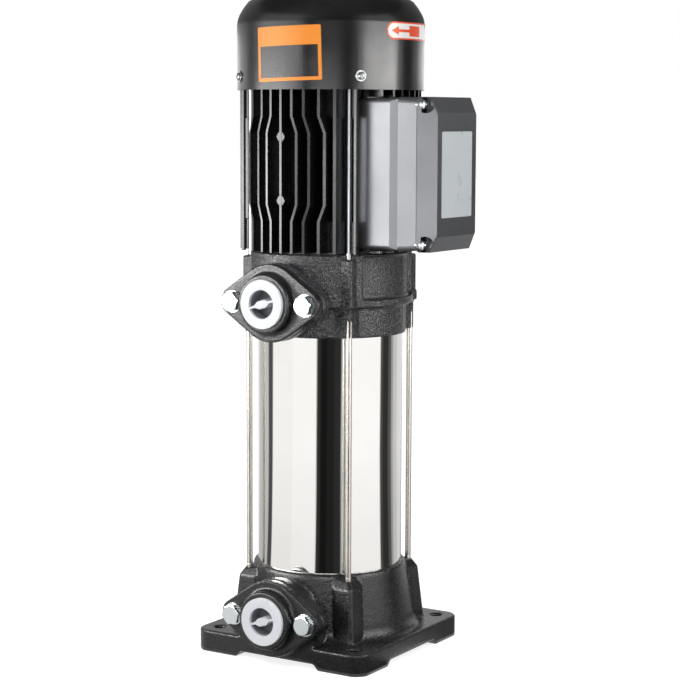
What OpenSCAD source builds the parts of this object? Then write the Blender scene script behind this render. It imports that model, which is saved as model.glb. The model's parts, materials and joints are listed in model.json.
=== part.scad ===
// Vertical multistage surface pump: cast base with suction port, stainless sleeve
// clamped by four tie rods, cast head with discharge port, and a fan-cooled motor on top.
// +Z is up along the shaft, -Y is the side of the two ports, +X is the terminal box.
// The origin is on the shaft axis, in the plane that the feet stand on.

/* [Base casting] */
// Side of the square base plate
base_w = 178; // [168:1:200]
// Corner radius of the base plate
base_corner_r = 15; // [8:1:20]
// Thickness of the base plate and its feet
foot_t = 19.5; // [16:0.5:22]
// Distance between the foundation bolt holes
foot_hole_pitch = 144; // [140:1:148]
// Diameter of the foundation bolt holes
foot_hole_d = 10; // [8:0.5:12]
// Height of the relief between the feet
relief_h = 5; // [2:0.5:8]
// Height of the rim that the sleeve stands in
base_h = 78.7; // [72:0.1:90]
// Height of the four towers that hold the tie rods
tower_h = 75; // [68:0.5:78]

/* [Pump head] */
// Height of the head from the sleeve to the motor
head_h = 73.4; // [68:0.1:80]
// Radius of the upper drum of the head
head_drum_r = 73.8; // [71:0.1:76]
// Half width over the square lugs of the head
head_lug_a = 57; // [55:0.1:60]

/* [Ports] */
// Height of the suction port above the floor
suction_z = 42.5; // [40:0.5:46]
// Height of the discharge port above the lower rim of the head
discharge_up = 32.4; // [30:0.1:36]
// Distance from the shaft axis to the faces of the cast flanges
port_reach = 90; // [86:0.5:98]
// Distance between the two bolts of an oval flange
flange_bolt_pitch = 75; // [68:0.5:80]
// Radius of the middle of the oval flange
flange_mid_r = 34; // [31:0.5:36]
// Radius of the two tips of the oval flange
flange_tip_r = 13; // [11:0.5:15]
// Thickness of the bolted counter flange
flange_t = 8; // [6:0.5:12]
// Thickness of the flange gasket
gasket_t = 1; // [0.5:0.1:2]
// Radius of the pipe thread bore in the counter flange
port_bore_r = 15.15; // [12:0.05:16]
// Radius of the raised boss on the counter flange
boss_r = 26; // [24:0.5:28]
// Height of the raised boss
boss_h = 9; // [6:0.5:12]

/* [Sleeve and tie rods] */
// Outer radius of the stainless sleeve
sleeve_r = 65.4; // [64:0.1:66]
// Wall of the stainless sleeve
sleeve_wall = 1.2; // [1:0.1:1.5]
// How deep the sleeve sits in its grooves
sleeve_seat = 6; // [5:0.5:7]
// Distance between the tie rods along a side of the square
rod_pitch = 105; // [104:0.5:107]
// Diameter of a tie rod
rod_d = 5.4; // [5:0.1:6.4]
// How far a tie rod is screwed into its lug
rod_thread = 16; // [10:1:20]

/* [Stages] */
// Number of impellers
stages = 7; // [3:1:7]
// Height of one stage
stage_pitch = 28; // [27:0.5:30]
// Outer radius of an impeller
impeller_r = 50; // [42:0.5:54]
// Number of impeller vanes
impeller_vanes = 6; // [5:1:7]
// Number of return vanes in a stage casing
return_vanes = 8; // [6:1:9]
// Radius of the eye of an impeller
eye_r = 20.6; // [18:0.1:23]
// Sheet thickness of the stage casings
casing_wall = 1.4; // [1:0.1:1.8]

/* [Motor] */
// Length of the motor frame
frame_len = 144.5; // [136:0.5:156]
// Radius over the tips of the cooling fins
fin_r = 81; // [79:0.5:81.2]
// Outer radius of the motor tube
tube_r = 60; // [58.5:0.5:61]
// Radius of the stator core
stator_r = 55; // [52:0.5:56]
// Length of the stator core
stator_len = 72; // [60:1:78]
// Radius of the rotor core
rotor_r = 31; // [28:0.5:33]
// Thickness of a cooling fin
fin_t = 2.2; // [1.6:0.1:2.6]
// Sideways step of the fins in the middle of the frame
fin_jog = 4.6; // [3:0.1:5.2]
// Distance between the motor bolts along a side of the square
motor_bolt_pitch = 102; // [101:0.5:103]
// Diameter of a motor bolt
motor_bolt_d = 4.4; // [4:0.1:5]

/* [Fan cover] */
// Outer radius of the fan cover
cover_r = 83; // [82.6:0.1:85]
// Height of the fan cover
cover_h = 77.5; // [72:0.5:84]
// Sheet thickness of the fan cover
cover_wall = 1.2; // [1:0.1:1.4]
// Radius of the fan
fan_r = 66; // [58:1:69]
// Number of fan blades
fan_blades = 9; // [7:1:12]

/* [Terminal box] */
// Width of the box
box_w = 85; // [80:1:90]
// Height of the box
box_h = 132; // [124:1:134]
// Distance from the shaft axis to the seam between box and lid
box_seam_x = 93.5; // [92:0.5:98]
// Depth of the lid
lid_d = 35.2; // [28:0.1:40]
// How far the face of the lid is set in from its rim
lid_chamfer = 8; // [5:0.5:9]
// Wall of the box and the lid
box_wall = 3; // [2:0.1:4]

/* [Hidden] */
$fn = 64;
fit = 0.02;          // clearance of parts that are clamped or pressed together
run_fit = 0.06;      // radial clearance of a running fit
slack = 0.4;         // clearance between parts that pass each other

CAST = [0.13, 0.13, 0.14];
CAST_ROUGH = [0.2, 0.2, 0.21];
STAINLESS = [0.82, 0.82, 0.84];
ZINC = [0.78, 0.8, 0.82];
PLASTIC = [0.93, 0.94, 0.95];
RUBBER = [0.05, 0.05, 0.05];
BLACK = [0.07, 0.07, 0.08];
COPPER = [0.72, 0.42, 0.22];
LAMINATION = [0.45, 0.46, 0.48];

sleeve_in_r = sleeve_r - sleeve_wall;
rim_r = sleeve_r + 3;
spigot_r = sleeve_in_r - fit;
spigot_in_r = spigot_r - 8;
ring_cord_r = 1.3;
inlet_t = 5.3;
clamp_t = 8.1;
stage_z0 = base_h + inlet_t;
stack_top = stage_z0 + stages * stage_pitch;
head_z = stack_top + clamp_t;
head_top = head_z + head_h;
sleeve_z0 = base_h - sleeve_seat;
sleeve_z1 = head_z + sleeve_seat;
discharge_z = head_z + discharge_up;

tower_a_top = rod_pitch / 2 + 7;
tower_a_low = tower_a_top + 5;
tower_face = 18;
tower_slant = 9;
tower_chamfer = 8;
body_foot_r = base_w / 2 - 2;
body_waist_r = body_foot_r - 11;
plug_r = 6;
drain_out = body_foot_r - 4;
relief_w = 88;

lug_bottom = head_z + 1;
lug_top = head_top - 4.1;
band_z0 = head_z + 27;
band_h = 8;
band_out = 0.8;
lug_low_a = head_lug_a - 1.5;
lug_in = 36;

cast_flange_t = 10;
neck_r = 26;
cap_rim_r = boss_r - 5;
cap_rim_t = 3.4;
cap_plug_len = 14;
cap_recess_r = 12.6;
cap_grip_a = 17;
flange_front = port_reach + gasket_t + flange_t;
washer_r = 9.8;
washer_t = 1.2;
bolt_af = 16;
bolt_head_h = 5.3;
bolt_r = 5;

shaft_pump_r = 6;
shaft_seal_r = 7.5;
bearing_in_r = 8.5;
bearing_out_r = 20;
bearing_t = 12;
ball_r = 3.4;
ball_ring_r = (bearing_in_r + bearing_out_r) / 2;
ball_count = 8;
hub_r = 9;
spacer_r = 8.5;
bush_r = 11;
hub_low = 3;
hub_high = 16;
plate_z = 17;
nut_h = 7;
spacer_low = base_h - 1.8;
shaft_low = base_h - 13;
seal_z0 = head_z + 6;
seal_spring_h = 16;
seal_ring_h = 18;
seat_z = seal_z0 + seal_spring_h + seal_ring_h;
seat_t = 7;
seat_r = 15;
bearing_low_z = head_top - bearing_t;
gap_mid_z = (seat_z + seat_t + bearing_low_z) / 2;
slinger_r = 12;

frame_top = head_top + frame_len;
stator_z0 = head_top + 31;
stator_z1 = stator_z0 + stator_len;
shield_t = 14;
shield_top = frame_top + shield_t;
bearing_top_z = frame_top - 3;
fan_z0 = shield_top + 6;
fan_h = 30;
shaft_top = fan_z0 + fan_h + 2;
cover_z0 = frame_top - 1.5;
cover_top = cover_z0 + cover_h;
cover_screw_turn = 5;
cover_screw_z = frame_top + 9;
shield_lug_r = cover_r - cover_wall - 0.15;

frame_lug_low = head_top + 1.5;
frame_lug_h = 27;
lug_a_out = 59;
fin_z0 = head_top + 1.2;
fin_z1 = frame_top;
jog_low = fin_z0 + 27.5;
jog_high = fin_z1 - 25;
jog_len = 14.5;
fin_places = [-34, -21.5, -10.7, 0, 10.7, 21.5, 34];
bar_place = 46;
pad_half = 39;

box_z0 = head_top + 3.8;
box_z1 = box_z0 + box_h;
box_back_x = 54;
box_rim_x = box_seam_x - 9.5;
box_mid_z = (box_z0 + box_z1) / 2;
box_round = 5;
lid_face_x = box_seam_x + lid_d;
lid_skirt_x = box_seam_x + 19.5;
lid_screw_y = box_w / 2 - 5.5;
lid_screw_z = box_h / 2 - 6.5;
lid_pocket_r = 6.6;
lid_gap = 0.8;
gland_x = 79;
gland_z = box_z0 + 30;
gland_bore_r = 5.5;
gland_thread_r = 8;
gland_thread_len = 9;
gland_boss_r = 11.8;
gland_boss_h = 8;
pad_z0 = box_z0 + 3.5;
pad_z1 = box_z1 - 3.5;

// Shared shapes

module ring(r_out, r_in, z0, z1) {
    translate([0, 0, z0])
        difference() {
            cylinder(r = r_out, h = z1 - z0);
            translate([0, 0, -1])
                cylinder(r = r_in, h = z1 - z0 + 2);
        }
}

module four_corners(pitch) {
    for (quarter = [0:3])
        rotate(90 * quarter)
            translate([pitch / 2, pitch / 2, 0])
                children();
}

// Moves a shape made along +Z onto a port, pointing away from the pump
module at_port(z) {
    translate([0, 0, z])
        rotate([90, 0, 0])
            children();
}

// Moves a shape made along +Z so that it points along +X
module toward_x() {
    rotate([90, 0, 90])
        children();
}

module rounded_rect(w, h, r) {
    square([w - 2 * r, h], center = true);
    square([w, h - 2 * r], center = true);
    for (sx = [-1, 1], sy = [-1, 1])
        translate([sx * (w / 2 - r), sy * (h / 2 - r)])
            circle(r);
}

// The rhombus with round tips that all the port flanges share
module oval_outline(mid_r, tip_r) {
    d = flange_bolt_pitch / 2;
    lean = acos((mid_r - tip_r) / d);
    corner = [mid_r * cos(lean), mid_r * sin(lean)];
    tip = [d + tip_r * cos(lean), tip_r * sin(lean)];
    circle(mid_r);
    for (s = [-1, 1])
        translate([s * d, 0])
            circle(tip_r);
    polygon([
        corner, tip, [tip[0], -tip[1]], [corner[0], -corner[1]],
        [-corner[0], -corner[1]], [-tip[0], -tip[1]], [-tip[0], tip[1]], [-corner[0], corner[1]]
    ]);
}

module at_flange_bolts() {
    for (s = [-1, 1])
        translate([s * flange_bolt_pitch / 2, 0, 0])
            children();
}

// Cast flange with its neck, made along +Z from the shaft axis
module port_nozzle() {
    translate([0, 0, port_reach - cast_flange_t])
        linear_extrude(cast_flange_t)
            oval_outline(flange_mid_r, flange_tip_r);
    rotate_extrude()
        polygon([
            [0, 50], [neck_r + 4, 50], [neck_r + 4, port_reach - cast_flange_t - 14],
            [neck_r + 2.4, port_reach - cast_flange_t - 9], [neck_r + 2, port_reach - cast_flange_t - 4],
            [neck_r + 3.5, port_reach - cast_flange_t + 1], [0, port_reach - cast_flange_t + 1]
        ]);
}

module port_holes() {
    cylinder(r = port_bore_r, h = port_reach + 1);
    at_flange_bolts()
        translate([0, 0, port_reach - cast_flange_t - 0.5])
            cylinder(r = bolt_r + fit, h = cast_flange_t + 2);
}

// Groove that the end of the sleeve and its O-ring sit in, opening at z = 0 towards +Z
module sleeve_groove() {
    ring(sleeve_r + fit, spigot_r, -sleeve_seat, 1);
    translate([0, 0, -sleeve_seat])
        ring(spigot_r + 1, ring_center_r() - ring_cord_r, 0.8, 0.8 + 2 * ring_cord_r + 0.2);
}

function ring_center_r() = sleeve_in_r - fit - ring_cord_r;

// Base

module base_plate() {
    linear_extrude(foot_t)
        rounded_rect(base_w, base_w, base_corner_r);
}

module relief() {
    rotate([90, 0, 0])
        translate([0, 0, -base_w])
            linear_extrude(2 * base_w)
                polygon([
                    [-relief_w / 2, -1], [relief_w / 2, -1],
                    [relief_w / 2 - 5, relief_h], [-relief_w / 2 + 5, relief_h]
                ]);
}

// Round body of the base, flared into the plate
module base_body() {
    flare_h = 15;
    flare = [for (i = [0:6]) [
        body_foot_r - (body_foot_r - body_waist_r) * sin(15 * i),
        foot_t - 2 + flare_h * (1 - cos(15 * i))
    ]];
    rotate_extrude($fn = 96)
        polygon(concat([[0, foot_t - 2]], flare, [[rim_r + 1.2, base_h - 3], [rim_r, base_h], [0, base_h]]));
}

// Outline of a tower with its outer corner at [a, a]
function tower_outline(a) = [
    [24, 24], [a - tower_face - 12, a - tower_slant], [a - tower_face, a], [a - 2, a],
    [a, a - 2], [a, a - tower_face], [a - tower_slant, a - tower_face - 12]
];

module tower() {
    hull() {
        translate([0, 0, foot_t - 4])
            linear_extrude(1)
                polygon(tower_outline(tower_a_low));
        translate([0, 0, tower_h - tower_chamfer])
            linear_extrude(0.1)
                polygon(tower_outline(tower_a_top + 0.6));
        translate([0, 0, tower_h - 0.1])
            linear_extrude(0.1)
                polygon(tower_outline(tower_a_top - 4));
    }
}

module base_casting() {
    color(CAST)
        difference() {
            union() {
                base_plate();
                base_body();
                for (quarter = [0:3])
                    rotate(90 * quarter)
                        tower();
                at_port(suction_z)
                    port_nozzle();
                translate([-38.5, -base_w / 2, relief_h])
                    cube([77, 40, 28]);
                drain_place()
                    cylinder(r = 13, h = 20);
            }
            relief();
            rotate(90)
                relief();
            translate([0, 0, foot_t - 6])
                cylinder(r = spigot_in_r, h = base_h);
            translate([0, 0, base_h])
                sleeve_groove();
            at_port(suction_z)
                port_holes();
            four_corners(foot_hole_pitch) {
                translate([0, 0, -1])
                    cylinder(r = foot_hole_d / 2, h = foot_t + 2);
                translate([0, 0, foot_t])
                    cylinder(r = foot_hole_d / 2 + 5.5, h = 14);
            }
            four_corners(rod_pitch)
                translate([0, 0, tower_h - rod_thread])
                    cylinder(r = rod_d / 2 + fit, h = rod_thread + 1);
            drain_place()
                translate([0, 0, -25])
                    cylinder(r = plug_r + fit, h = 50);
        }
}

// Drain at the foot of the base, on the side away from the ports
module drain_place() {
    translate([0, drain_out - 20, foot_t + 10.5])
        rotate([-90, 0, 0])
            children();
}

module screw_plug() {
    color(ZINC) {
        translate([0, 0, 8])
            cylinder(r = plug_r, h = 12.4);
        ring(plug_r + 4.5, plug_r + fit, 20, 21.5);
        translate([0, 0, 21.5])
            cylinder(r = plug_r + 3.4, h = 1.6);
        translate([0, 0, 23])
            cylinder(r = 8.6, h = 6, $fn = 6);
        translate([0, 0, 20])
            cylinder(r = plug_r, h = 3.2);
    }
}

module drain_plug() {
    drain_place()
        screw_plug();
}

// Sleeve and what clamps it

module outer_sleeve() {
    color(STAINLESS)
        ring(sleeve_r, sleeve_in_r, sleeve_z0 + fit, sleeve_z1 - fit, $fn = 128);
}

module sleeve_o_rings() {
    ring_up = 0.8 + ring_cord_r + 0.1;
    color(RUBBER)
        for (z = [sleeve_z0 + ring_up, sleeve_z1 - ring_up])
            translate([0, 0, z])
                rotate_extrude()
                    translate([ring_center_r(), 0])
                        circle(ring_cord_r);
}

module tie_rods() {
    color(STAINLESS)
        four_corners(rod_pitch)
            translate([0, 0, tower_h - rod_thread + fit])
                cylinder(r = rod_d / 2, h = lug_bottom - tower_h + 2 * rod_thread - 2 * fit, $fn = 32);
}

// Pump head

module head_outline(drum_r, lug_a) {
    circle(drum_r);
    for (quarter = [0:3])
        rotate(90 * quarter)
            translate([lug_in, lug_in])
                difference() {
                    square(lug_a - lug_in);
                    translate([lug_a - lug_in - 1.5, lug_a - lug_in - 1.5])
                        difference() {
                            square(2);
                            circle(1.5);
                        }
                }
}

module pump_head() {
    chamber_top = seat_z - 2;
    color(CAST_ROUGH)
        difference() {
            union() {
                translate([0, 0, head_z])
                    cylinder(r = rim_r, h = band_z0 - head_z + 1, $fn = 96);
                translate([0, 0, lug_bottom])
                    linear_extrude(band_z0 - lug_bottom + 1)
                        head_outline(rim_r, lug_low_a);
                translate([0, 0, band_z0])
                    linear_extrude(band_h)
                        head_outline(head_drum_r + band_out, head_lug_a + band_out);
                translate([0, 0, band_z0])
                    linear_extrude(lug_top - band_z0)
                        head_outline(head_drum_r, head_lug_a);
                translate([0, 0, band_z0])
                    cylinder(r = head_drum_r, h = head_top - band_z0, $fn = 96);
                at_port(discharge_z)
                    port_nozzle();
                vent_place()
                    cylinder(r = 13, h = 20);
            }
            translate([0, 0, head_z - 1])
                cylinder(r = spigot_in_r, h = chamber_top - head_z + 1);
            translate([0, 0, head_z])
                mirror([0, 0, 1])
                    sleeve_groove();
            at_port(discharge_z)
                port_holes();
            translate([0, 0, seat_z])
                cylinder(r = seat_r + fit, h = seat_t + fit);
            translate([0, 0, chamber_top - 1])
                cylinder(r = seat_r + fit, h = 4);
            translate([0, 0, seat_z])
                cylinder(r = slinger_r + slack, h = head_top);
            translate([0, 0, bearing_low_z])
                cylinder(r = bearing_out_r + fit, h = bearing_t + 1);
            four_corners(rod_pitch)
                translate([0, 0, lug_bottom - 1])
                    cylinder(r = rod_d / 2 + fit, h = rod_thread + 1);
            four_corners(motor_bolt_pitch)
                cylinder_between(motor_bolt_d / 2 + fit, lug_top - rod_thread, head_top + 1);
            vent_place()
                translate([0, 0, -25])
                    cylinder(r = plug_r + fit, h = 50);
        }
}

// Filling and venting plug, on the side of the head away from the ports
module vent_place() {
    translate([0, head_drum_r - 17, discharge_z])
        rotate([-90, 0, 0])
            children();
}

module vent_plug() {
    vent_place()
        screw_plug();
}

// Port flanges

module counter_flange(z) {
    color(CAST)
        at_port(z)
            difference() {
                union() {
                    translate([0, 0, port_reach + gasket_t])
                        linear_extrude(flange_t)
                            oval_outline(flange_mid_r, flange_tip_r);
                    translate([0, 0, flange_front - 1])
                        cylinder(r = boss_r, h = boss_h);
                    translate([0, 0, flange_front + boss_h - 1])
                        cylinder(r1 = boss_r, r2 = boss_r - 1, h = 1);
                }
                translate([0, 0, port_reach])
                    cylinder(r = port_bore_r, h = flange_t + boss_h + 5);
                at_flange_bolts()
                    translate([0, 0, port_reach])
                        cylinder(r = bolt_r + fit, h = flange_t + 5);
            }
}

module flange_gaskets() {
    color(RUBBER)
        for (z = [suction_z, discharge_z])
            at_port(z)
                translate([0, 0, port_reach])
                    linear_extrude(gasket_t)
                        difference() {
                            oval_outline(flange_mid_r - 0.8, flange_tip_r - 0.8);
                            circle(port_bore_r);
                            at_flange_bolts()
                                circle(bolt_r + fit);
                        }
}

// Hexagon head with a chamfered crown on a round collar
module hex_flange_bolt() {
    cylinder(r = washer_r, h = washer_t);
    translate([0, 0, washer_t])
        intersection() {
            cylinder(r = bolt_af / sqrt(3), h = bolt_head_h, $fn = 6);
            rotate_extrude()
                polygon([
                    [0, 0], [bolt_af / sqrt(3) + 0.2, 0], [bolt_af / sqrt(3) + 0.2, bolt_head_h - 0.8],
                    [bolt_af / 2 - 0.4, bolt_head_h], [0, bolt_head_h]
                ]);
        }
    translate([0, 0, -gasket_t - flange_t - cast_flange_t + 1])
        cylinder(r = bolt_r, h = gasket_t + flange_t + cast_flange_t - 0.9);
}

module flange_bolts() {
    color(ZINC)
        for (z = [suction_z, discharge_z])
            at_port(z)
                at_flange_bolts()
                    translate([0, 0, flange_front])
                        rotate(12)
                            hex_flange_bolt();
}

// Push-in protection cap with a dished grip
module port_cap(z) {
    face = flange_front + boss_h;
    color(PLASTIC)
        at_port(z) {
            difference() {
                union() {
                    translate([0, 0, face])
                        cylinder(r = cap_rim_r, h = cap_rim_t);
                    translate([0, 0, face - cap_plug_len])
                        cylinder(r = port_bore_r - run_fit, h = cap_plug_len + 1);
                }
                translate([0, 0, face - cap_plug_len + 1.6])
                    cylinder(r = cap_recess_r, h = cap_plug_len + cap_rim_t);
            }
            rotate(cap_grip_a)
                translate([0, 0, face - cap_plug_len + 1]) {
                    translate([-cap_recess_r - 0.5, -0.9, 0])
                        cube([2 * cap_recess_r + 1, 1.8, cap_plug_len + cap_rim_t - 2]);
                    cylinder(r = 3.4, h = cap_plug_len + cap_rim_t - 1.6);
                }
        }
}

// Hydraulic stack

module inlet_plate() {
    color(STAINLESS)
        difference() {
            union() {
                difference() {
                    ring(spigot_r - fit, eye_r + 6, base_h, stage_z0);
                    ring(eye_r + 26, eye_r + 14, base_h - 1, base_h + inlet_t - casing_wall);
                }
                for (spoke = [0:2])
                    rotate(120 * spoke + 30)
                        translate([bush_r, -1.5, base_h])
                            cube([eye_r + 8 - bush_r, 3, inlet_t - casing_wall]);
                cylinder_between(bush_r + 2.5, base_h, stage_z0 - 0.5);
            }
            cylinder_between(bush_r + fit, base_h - 1, stage_z0 + 1);
        }
}

module cylinder_between(r, z0, z1) {
    translate([0, 0, z0])
        cylinder(r = r, h = z1 - z0);
}

module shaft_bush() {
    color(RUBBER) {
        ring(bush_r, spacer_r + run_fit, base_h, stage_z0 - 0.5);
        ring(bush_r + 1.5, spacer_r + run_fit, base_h - 1.2, base_h);
    }
}

module clamp_ring() {
    color(STAINLESS)
        ring(spigot_r - fit, spigot_in_r + 1, stack_top, head_z);
}

// Backward curved vane from the hub to the rim, one arc of constant thickness
module arc_vane(r_in, r_out, t, h) {
    bend = r_out * 0.62;
    intersection() {
        ring(r_out, r_in, 0, h);
        translate([r_out * 0.42, r_out * 0.36, 0])
            ring(bend, bend - t, 0, h);
        translate([0, -r_out * 1.2, 0])
            cube([r_out * 1.2, r_out * 1.56, h]);
    }
}

module impeller(index) {
    z = stage_z0 + (index - 1) * stage_pitch;
    shroud = 1.2;
    low = z + hub_low;
    high = z + hub_high - 2;
    color(STAINLESS)
        difference() {
            union() {
                ring(impeller_r, eye_r - 1, low, low + shroud);
                ring(eye_r, eye_r - shroud, z + casing_wall - 1, low + shroud);
                cylinder_between(impeller_r, high - shroud, high);
                cylinder_between(hub_r, low, z + hub_high);
                for (vane = [0:impeller_vanes - 1])
                    rotate(360 / impeller_vanes * vane)
                        translate([0, 0, low + shroud - 0.1])
                            arc_vane(hub_r + 5, impeller_r - 0.6, 1.4, high - low - 2 * shroud + 0.2);
            }
            cylinder_between(shaft_pump_r + fit, z - 1, z + stage_pitch);
        }
}

module stage_casing(index) {
    z = stage_z0 + (index - 1) * stage_pitch;
    wall_in = spigot_r - casing_wall;
    color(STAINLESS)
        union() {
            ring(spigot_r - fit, wall_in, z, z + stage_pitch);
            ring(spigot_r - fit - 0.1, eye_r + slack, z, z + casing_wall);
            ring(impeller_r + 3, hub_r + slack, z + plate_z, z + plate_z + casing_wall);
            for (vane = [0:return_vanes - 1])
                rotate(360 / return_vanes * vane)
                    translate([0, 0, z + plate_z + casing_wall - 0.1])
                        mirror([0, 1, 0])
                            arc_vane(eye_r + 3, wall_in + 0.1, casing_wall, stage_pitch - plate_z - casing_wall);
        }
}

module shaft() {
    steps = [
        [shaft_low, shaft_pump_r], [seal_z0 - 5, shaft_seal_r], [gap_mid_z - 1.4, bearing_in_r],
        [head_top, bearing_in_r + 1.5], [stator_z0 - 2, bearing_in_r + 3], [stator_z1 + 2, bearing_in_r + 1.5],
        [bearing_top_z, bearing_in_r], [shield_top + 2, bearing_in_r - 1.5], [shaft_top, 0]
    ];
    color(STAINLESS)
        for (i = [0:len(steps) - 2])
            cylinder_between(steps[i][1], steps[i][0], steps[i + 1][0]);
}

module shaft_nut() {
    color(ZINC)
        difference() {
            translate([0, 0, spacer_low - nut_h])
                cylinder(r = 10, h = nut_h, $fn = 6);
            cylinder_between(shaft_pump_r + fit, shaft_low - 2, base_h + 5);
        }
}

// Sleeves between the hubs: below the first stage, between stages and under the seal
module impeller_spacers() {
    first_hub = stage_z0 + hub_low;
    color(STAINLESS) {
        ring(spacer_r, shaft_pump_r + fit, spacer_low, first_hub);
        for (i = [1:stages - 1])
            ring(spacer_r, shaft_pump_r + fit, stage_z0 + (i - 1) * stage_pitch + hub_high,
                 stage_z0 + i * stage_pitch + hub_low);
        ring(spacer_r, shaft_pump_r + fit, stack_top - stage_pitch + hub_high, seal_z0 - 5);
    }
}

// Shaft seal

module seal_spring() {
    turns = 4;
    color(STAINLESS) {
        ring(shaft_seal_r + 4, shaft_seal_r + fit, seal_z0 - 5, seal_z0 - 2.6);
        for (i = [0:turns - 1])
            ring(shaft_seal_r + 3.4, shaft_seal_r + 0.8, seal_z0 - 2.6 + i * 4.65, seal_z0 - 2.6 + i * 4.65 + 2);
        ring(shaft_seal_r + 1.4, shaft_seal_r + fit, seal_z0 - 2.7, seal_z0 + seal_spring_h);
    }
}

module seal_ring() {
    color(BLACK)
        difference() {
            union() {
                cylinder_between(shaft_seal_r + 5, seal_z0 + seal_spring_h, seat_z - 4);
                cylinder_between(shaft_seal_r + 3, seat_z - 4.5, seat_z);
            }
            cylinder_between(shaft_seal_r + fit, seal_z0, seat_z + 1);
        }
}

module seal_seat() {
    color(PLASTIC)
        ring(seat_r, shaft_seal_r + slack, seat_z, seat_z + seat_t);
}

module slinger() {
    color(RUBBER)
        difference() {
            ring(slinger_r, shaft_seal_r + fit, seat_z + seat_t + 0.6, gap_mid_z - 1.4);
            translate([0, 0, seat_z + seat_t + 0.6])
                rotate_extrude()
                    polygon([[slinger_r - 2.4, -1], [slinger_r + 1, -1], [slinger_r + 1, 1.4]]);
        }
}

// Ball bearings, standing on z = 0

module bearing_outer() {
    color(LAMINATION)
        difference() {
            ring(bearing_out_r, ball_ring_r + 2.1, 0, bearing_t);
            race();
        }
}

module bearing_inner() {
    color(LAMINATION)
        difference() {
            ring(ball_ring_r - 2.1, bearing_in_r + fit, 0, bearing_t);
            race();
        }
}

module race() {
    translate([0, 0, bearing_t / 2])
        rotate_extrude()
            translate([ball_ring_r, 0])
                circle(ball_r + run_fit);
}

module bearing_balls() {
    color(STAINLESS)
        for (i = [0:ball_count - 1])
            rotate(360 / ball_count * i)
                translate([ball_ring_r, 0, bearing_t / 2])
                    sphere(ball_r, $fn = 24);
}

module wave_washer() {
    color(STAINLESS)
        ring(bearing_out_r - 0.6, ball_ring_r + 2.4, bearing_top_z + bearing_t, bearing_top_z + bearing_t + 1);
}

// Motor

// Strip that a fin shows from the front: straight at both ends and stepped in the middle
function fin_strip(place) = let (
    out = place == 0 ? 0 : sign(place) * fin_jog,
    l = -fin_t / 2,
    r = fin_t / 2
) [
    [place + l, fin_z0], [place + r, fin_z0], [place + r, jog_low],
    [place + out + r, jog_low + jog_len], [place + out + r, jog_high - jog_len],
    [place + r, jog_high], [place + r, fin_z1], [place + l, fin_z1], [place + l, jog_high],
    [place + out + l, jog_high - jog_len], [place + out + l, jog_low + jog_len], [place + l, jog_low]
];

// One side's fins, with low ribs between them and two ejector pads on the middle fin
module stepped_fins() {
    rotate([90, 0, 0]) {
        translate([0, 0, 20])
            for (place = fin_places)
                linear_extrude(fin_r)
                    polygon(fin_strip(place));
        translate([0, 0, 20])
            linear_extrude(tube_r - 17)
                for (side = [-1, 1])
                    translate([side * (fin_places[5] + fin_jog) / 2 - fin_t / 2, jog_low + jog_len])
                        square([fin_t, jog_high - jog_low - 2 * jog_len]);
        for (z = [jog_low + jog_len + 3.5, jog_high - jog_len - 3.5])
            translate([0, z, tube_r - 4])
                cylinder(r = 4.2, h = fin_r - tube_r + 3.8, $fn = 6);
    }
}

module corner_bar() {
    translate([bar_place - fin_t / 2, -fin_r, fin_z0])
        cube([fin_t, fin_r - 30, fin_z1 - fin_z0]);
}

// Short straight fins above and below a flat pad, pointing along +X
module stub_fins(z0, z1) {
    for (place = fin_places)
        translate([20, place - fin_t / 2, z0])
            cube([fin_r, fin_t, z1 - z0]);
}

module frame_lugs() {
    for (z = [frame_lug_low, frame_top - frame_lug_h])
        translate([0, 0, z])
            linear_extrude(frame_lug_h)
                difference() {
                    for (quarter = [0:3])
                        rotate(90 * quarter)
                            translate([34, 34])
                                square(lug_a_out - 34);
                    circle(tube_r - 2);
                }
}

module motor_frame() {
    pad_low = head_top + 26.5;
    pad_high = frame_top - 22;
    color(BLACK)
        difference() {
            union() {
                ring(tube_r, stator_r + fit, head_top, frame_top, $fn = 96);
                intersection() {
                    cylinder_between(fin_r, head_top, frame_top, $fn = 128);
                    difference() {
                        union() {
                            stepped_fins();
                            rotate(180)
                                stepped_fins();
                            for (quarter = [0:3])
                                rotate(90 * quarter)
                                    corner_bar();
                            stub_fins(fin_z0, box_z0 - 0.4);
                            stub_fins(box_z1 + 0.4, fin_z1);
                            rotate(180) {
                                stub_fins(fin_z0, pad_low);
                                stub_fins(pad_high, fin_z1);
                            }
                            translate([30, -pad_half, pad_z0])
                                cube([tube_r - 30, 2 * pad_half, pad_z1 - pad_z0]);
                            translate([-tube_r + 1, -pad_half + 1, pad_low])
                                cube([30, 2 * pad_half - 2, pad_high - pad_low]);
                        }
                        cylinder_between(tube_r - 2, head_top - 1, frame_top + 1);
                    }
                }
                frame_lugs();
            }
            cylinder_between(stator_r + fit, head_top - 1, frame_top + 1);
            ring(cover_r + 5, shield_lug_r, cover_z0 - slack, frame_top + 1);
            four_corners(motor_bolt_pitch)
                translate([0, 0, head_top])
                    cylinder(r = motor_bolt_d / 2 + slack, h = frame_len + 1);
            for (side = [-1, 1])
                translate([box_back_x - slack, side > 0 ? pad_half : -box_w / 2, box_z0 - slack])
                    cube([40, box_w / 2 - pad_half, box_h + 2 * slack]);
            translate([tube_r - 20, 0, box_mid_z])
                rotate([0, 90, 0])
                    cylinder(r = 9, h = 30);
        }
}

module motor_bolts() {
    color(ZINC)
        four_corners(motor_bolt_pitch) {
            cylinder_between(motor_bolt_d / 2, lug_top - rod_thread + fit, shield_top);
            translate([0, 0, shield_top])
                cylinder(r = 4.1, h = 3.4, $fn = 6);
        }
}

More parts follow.
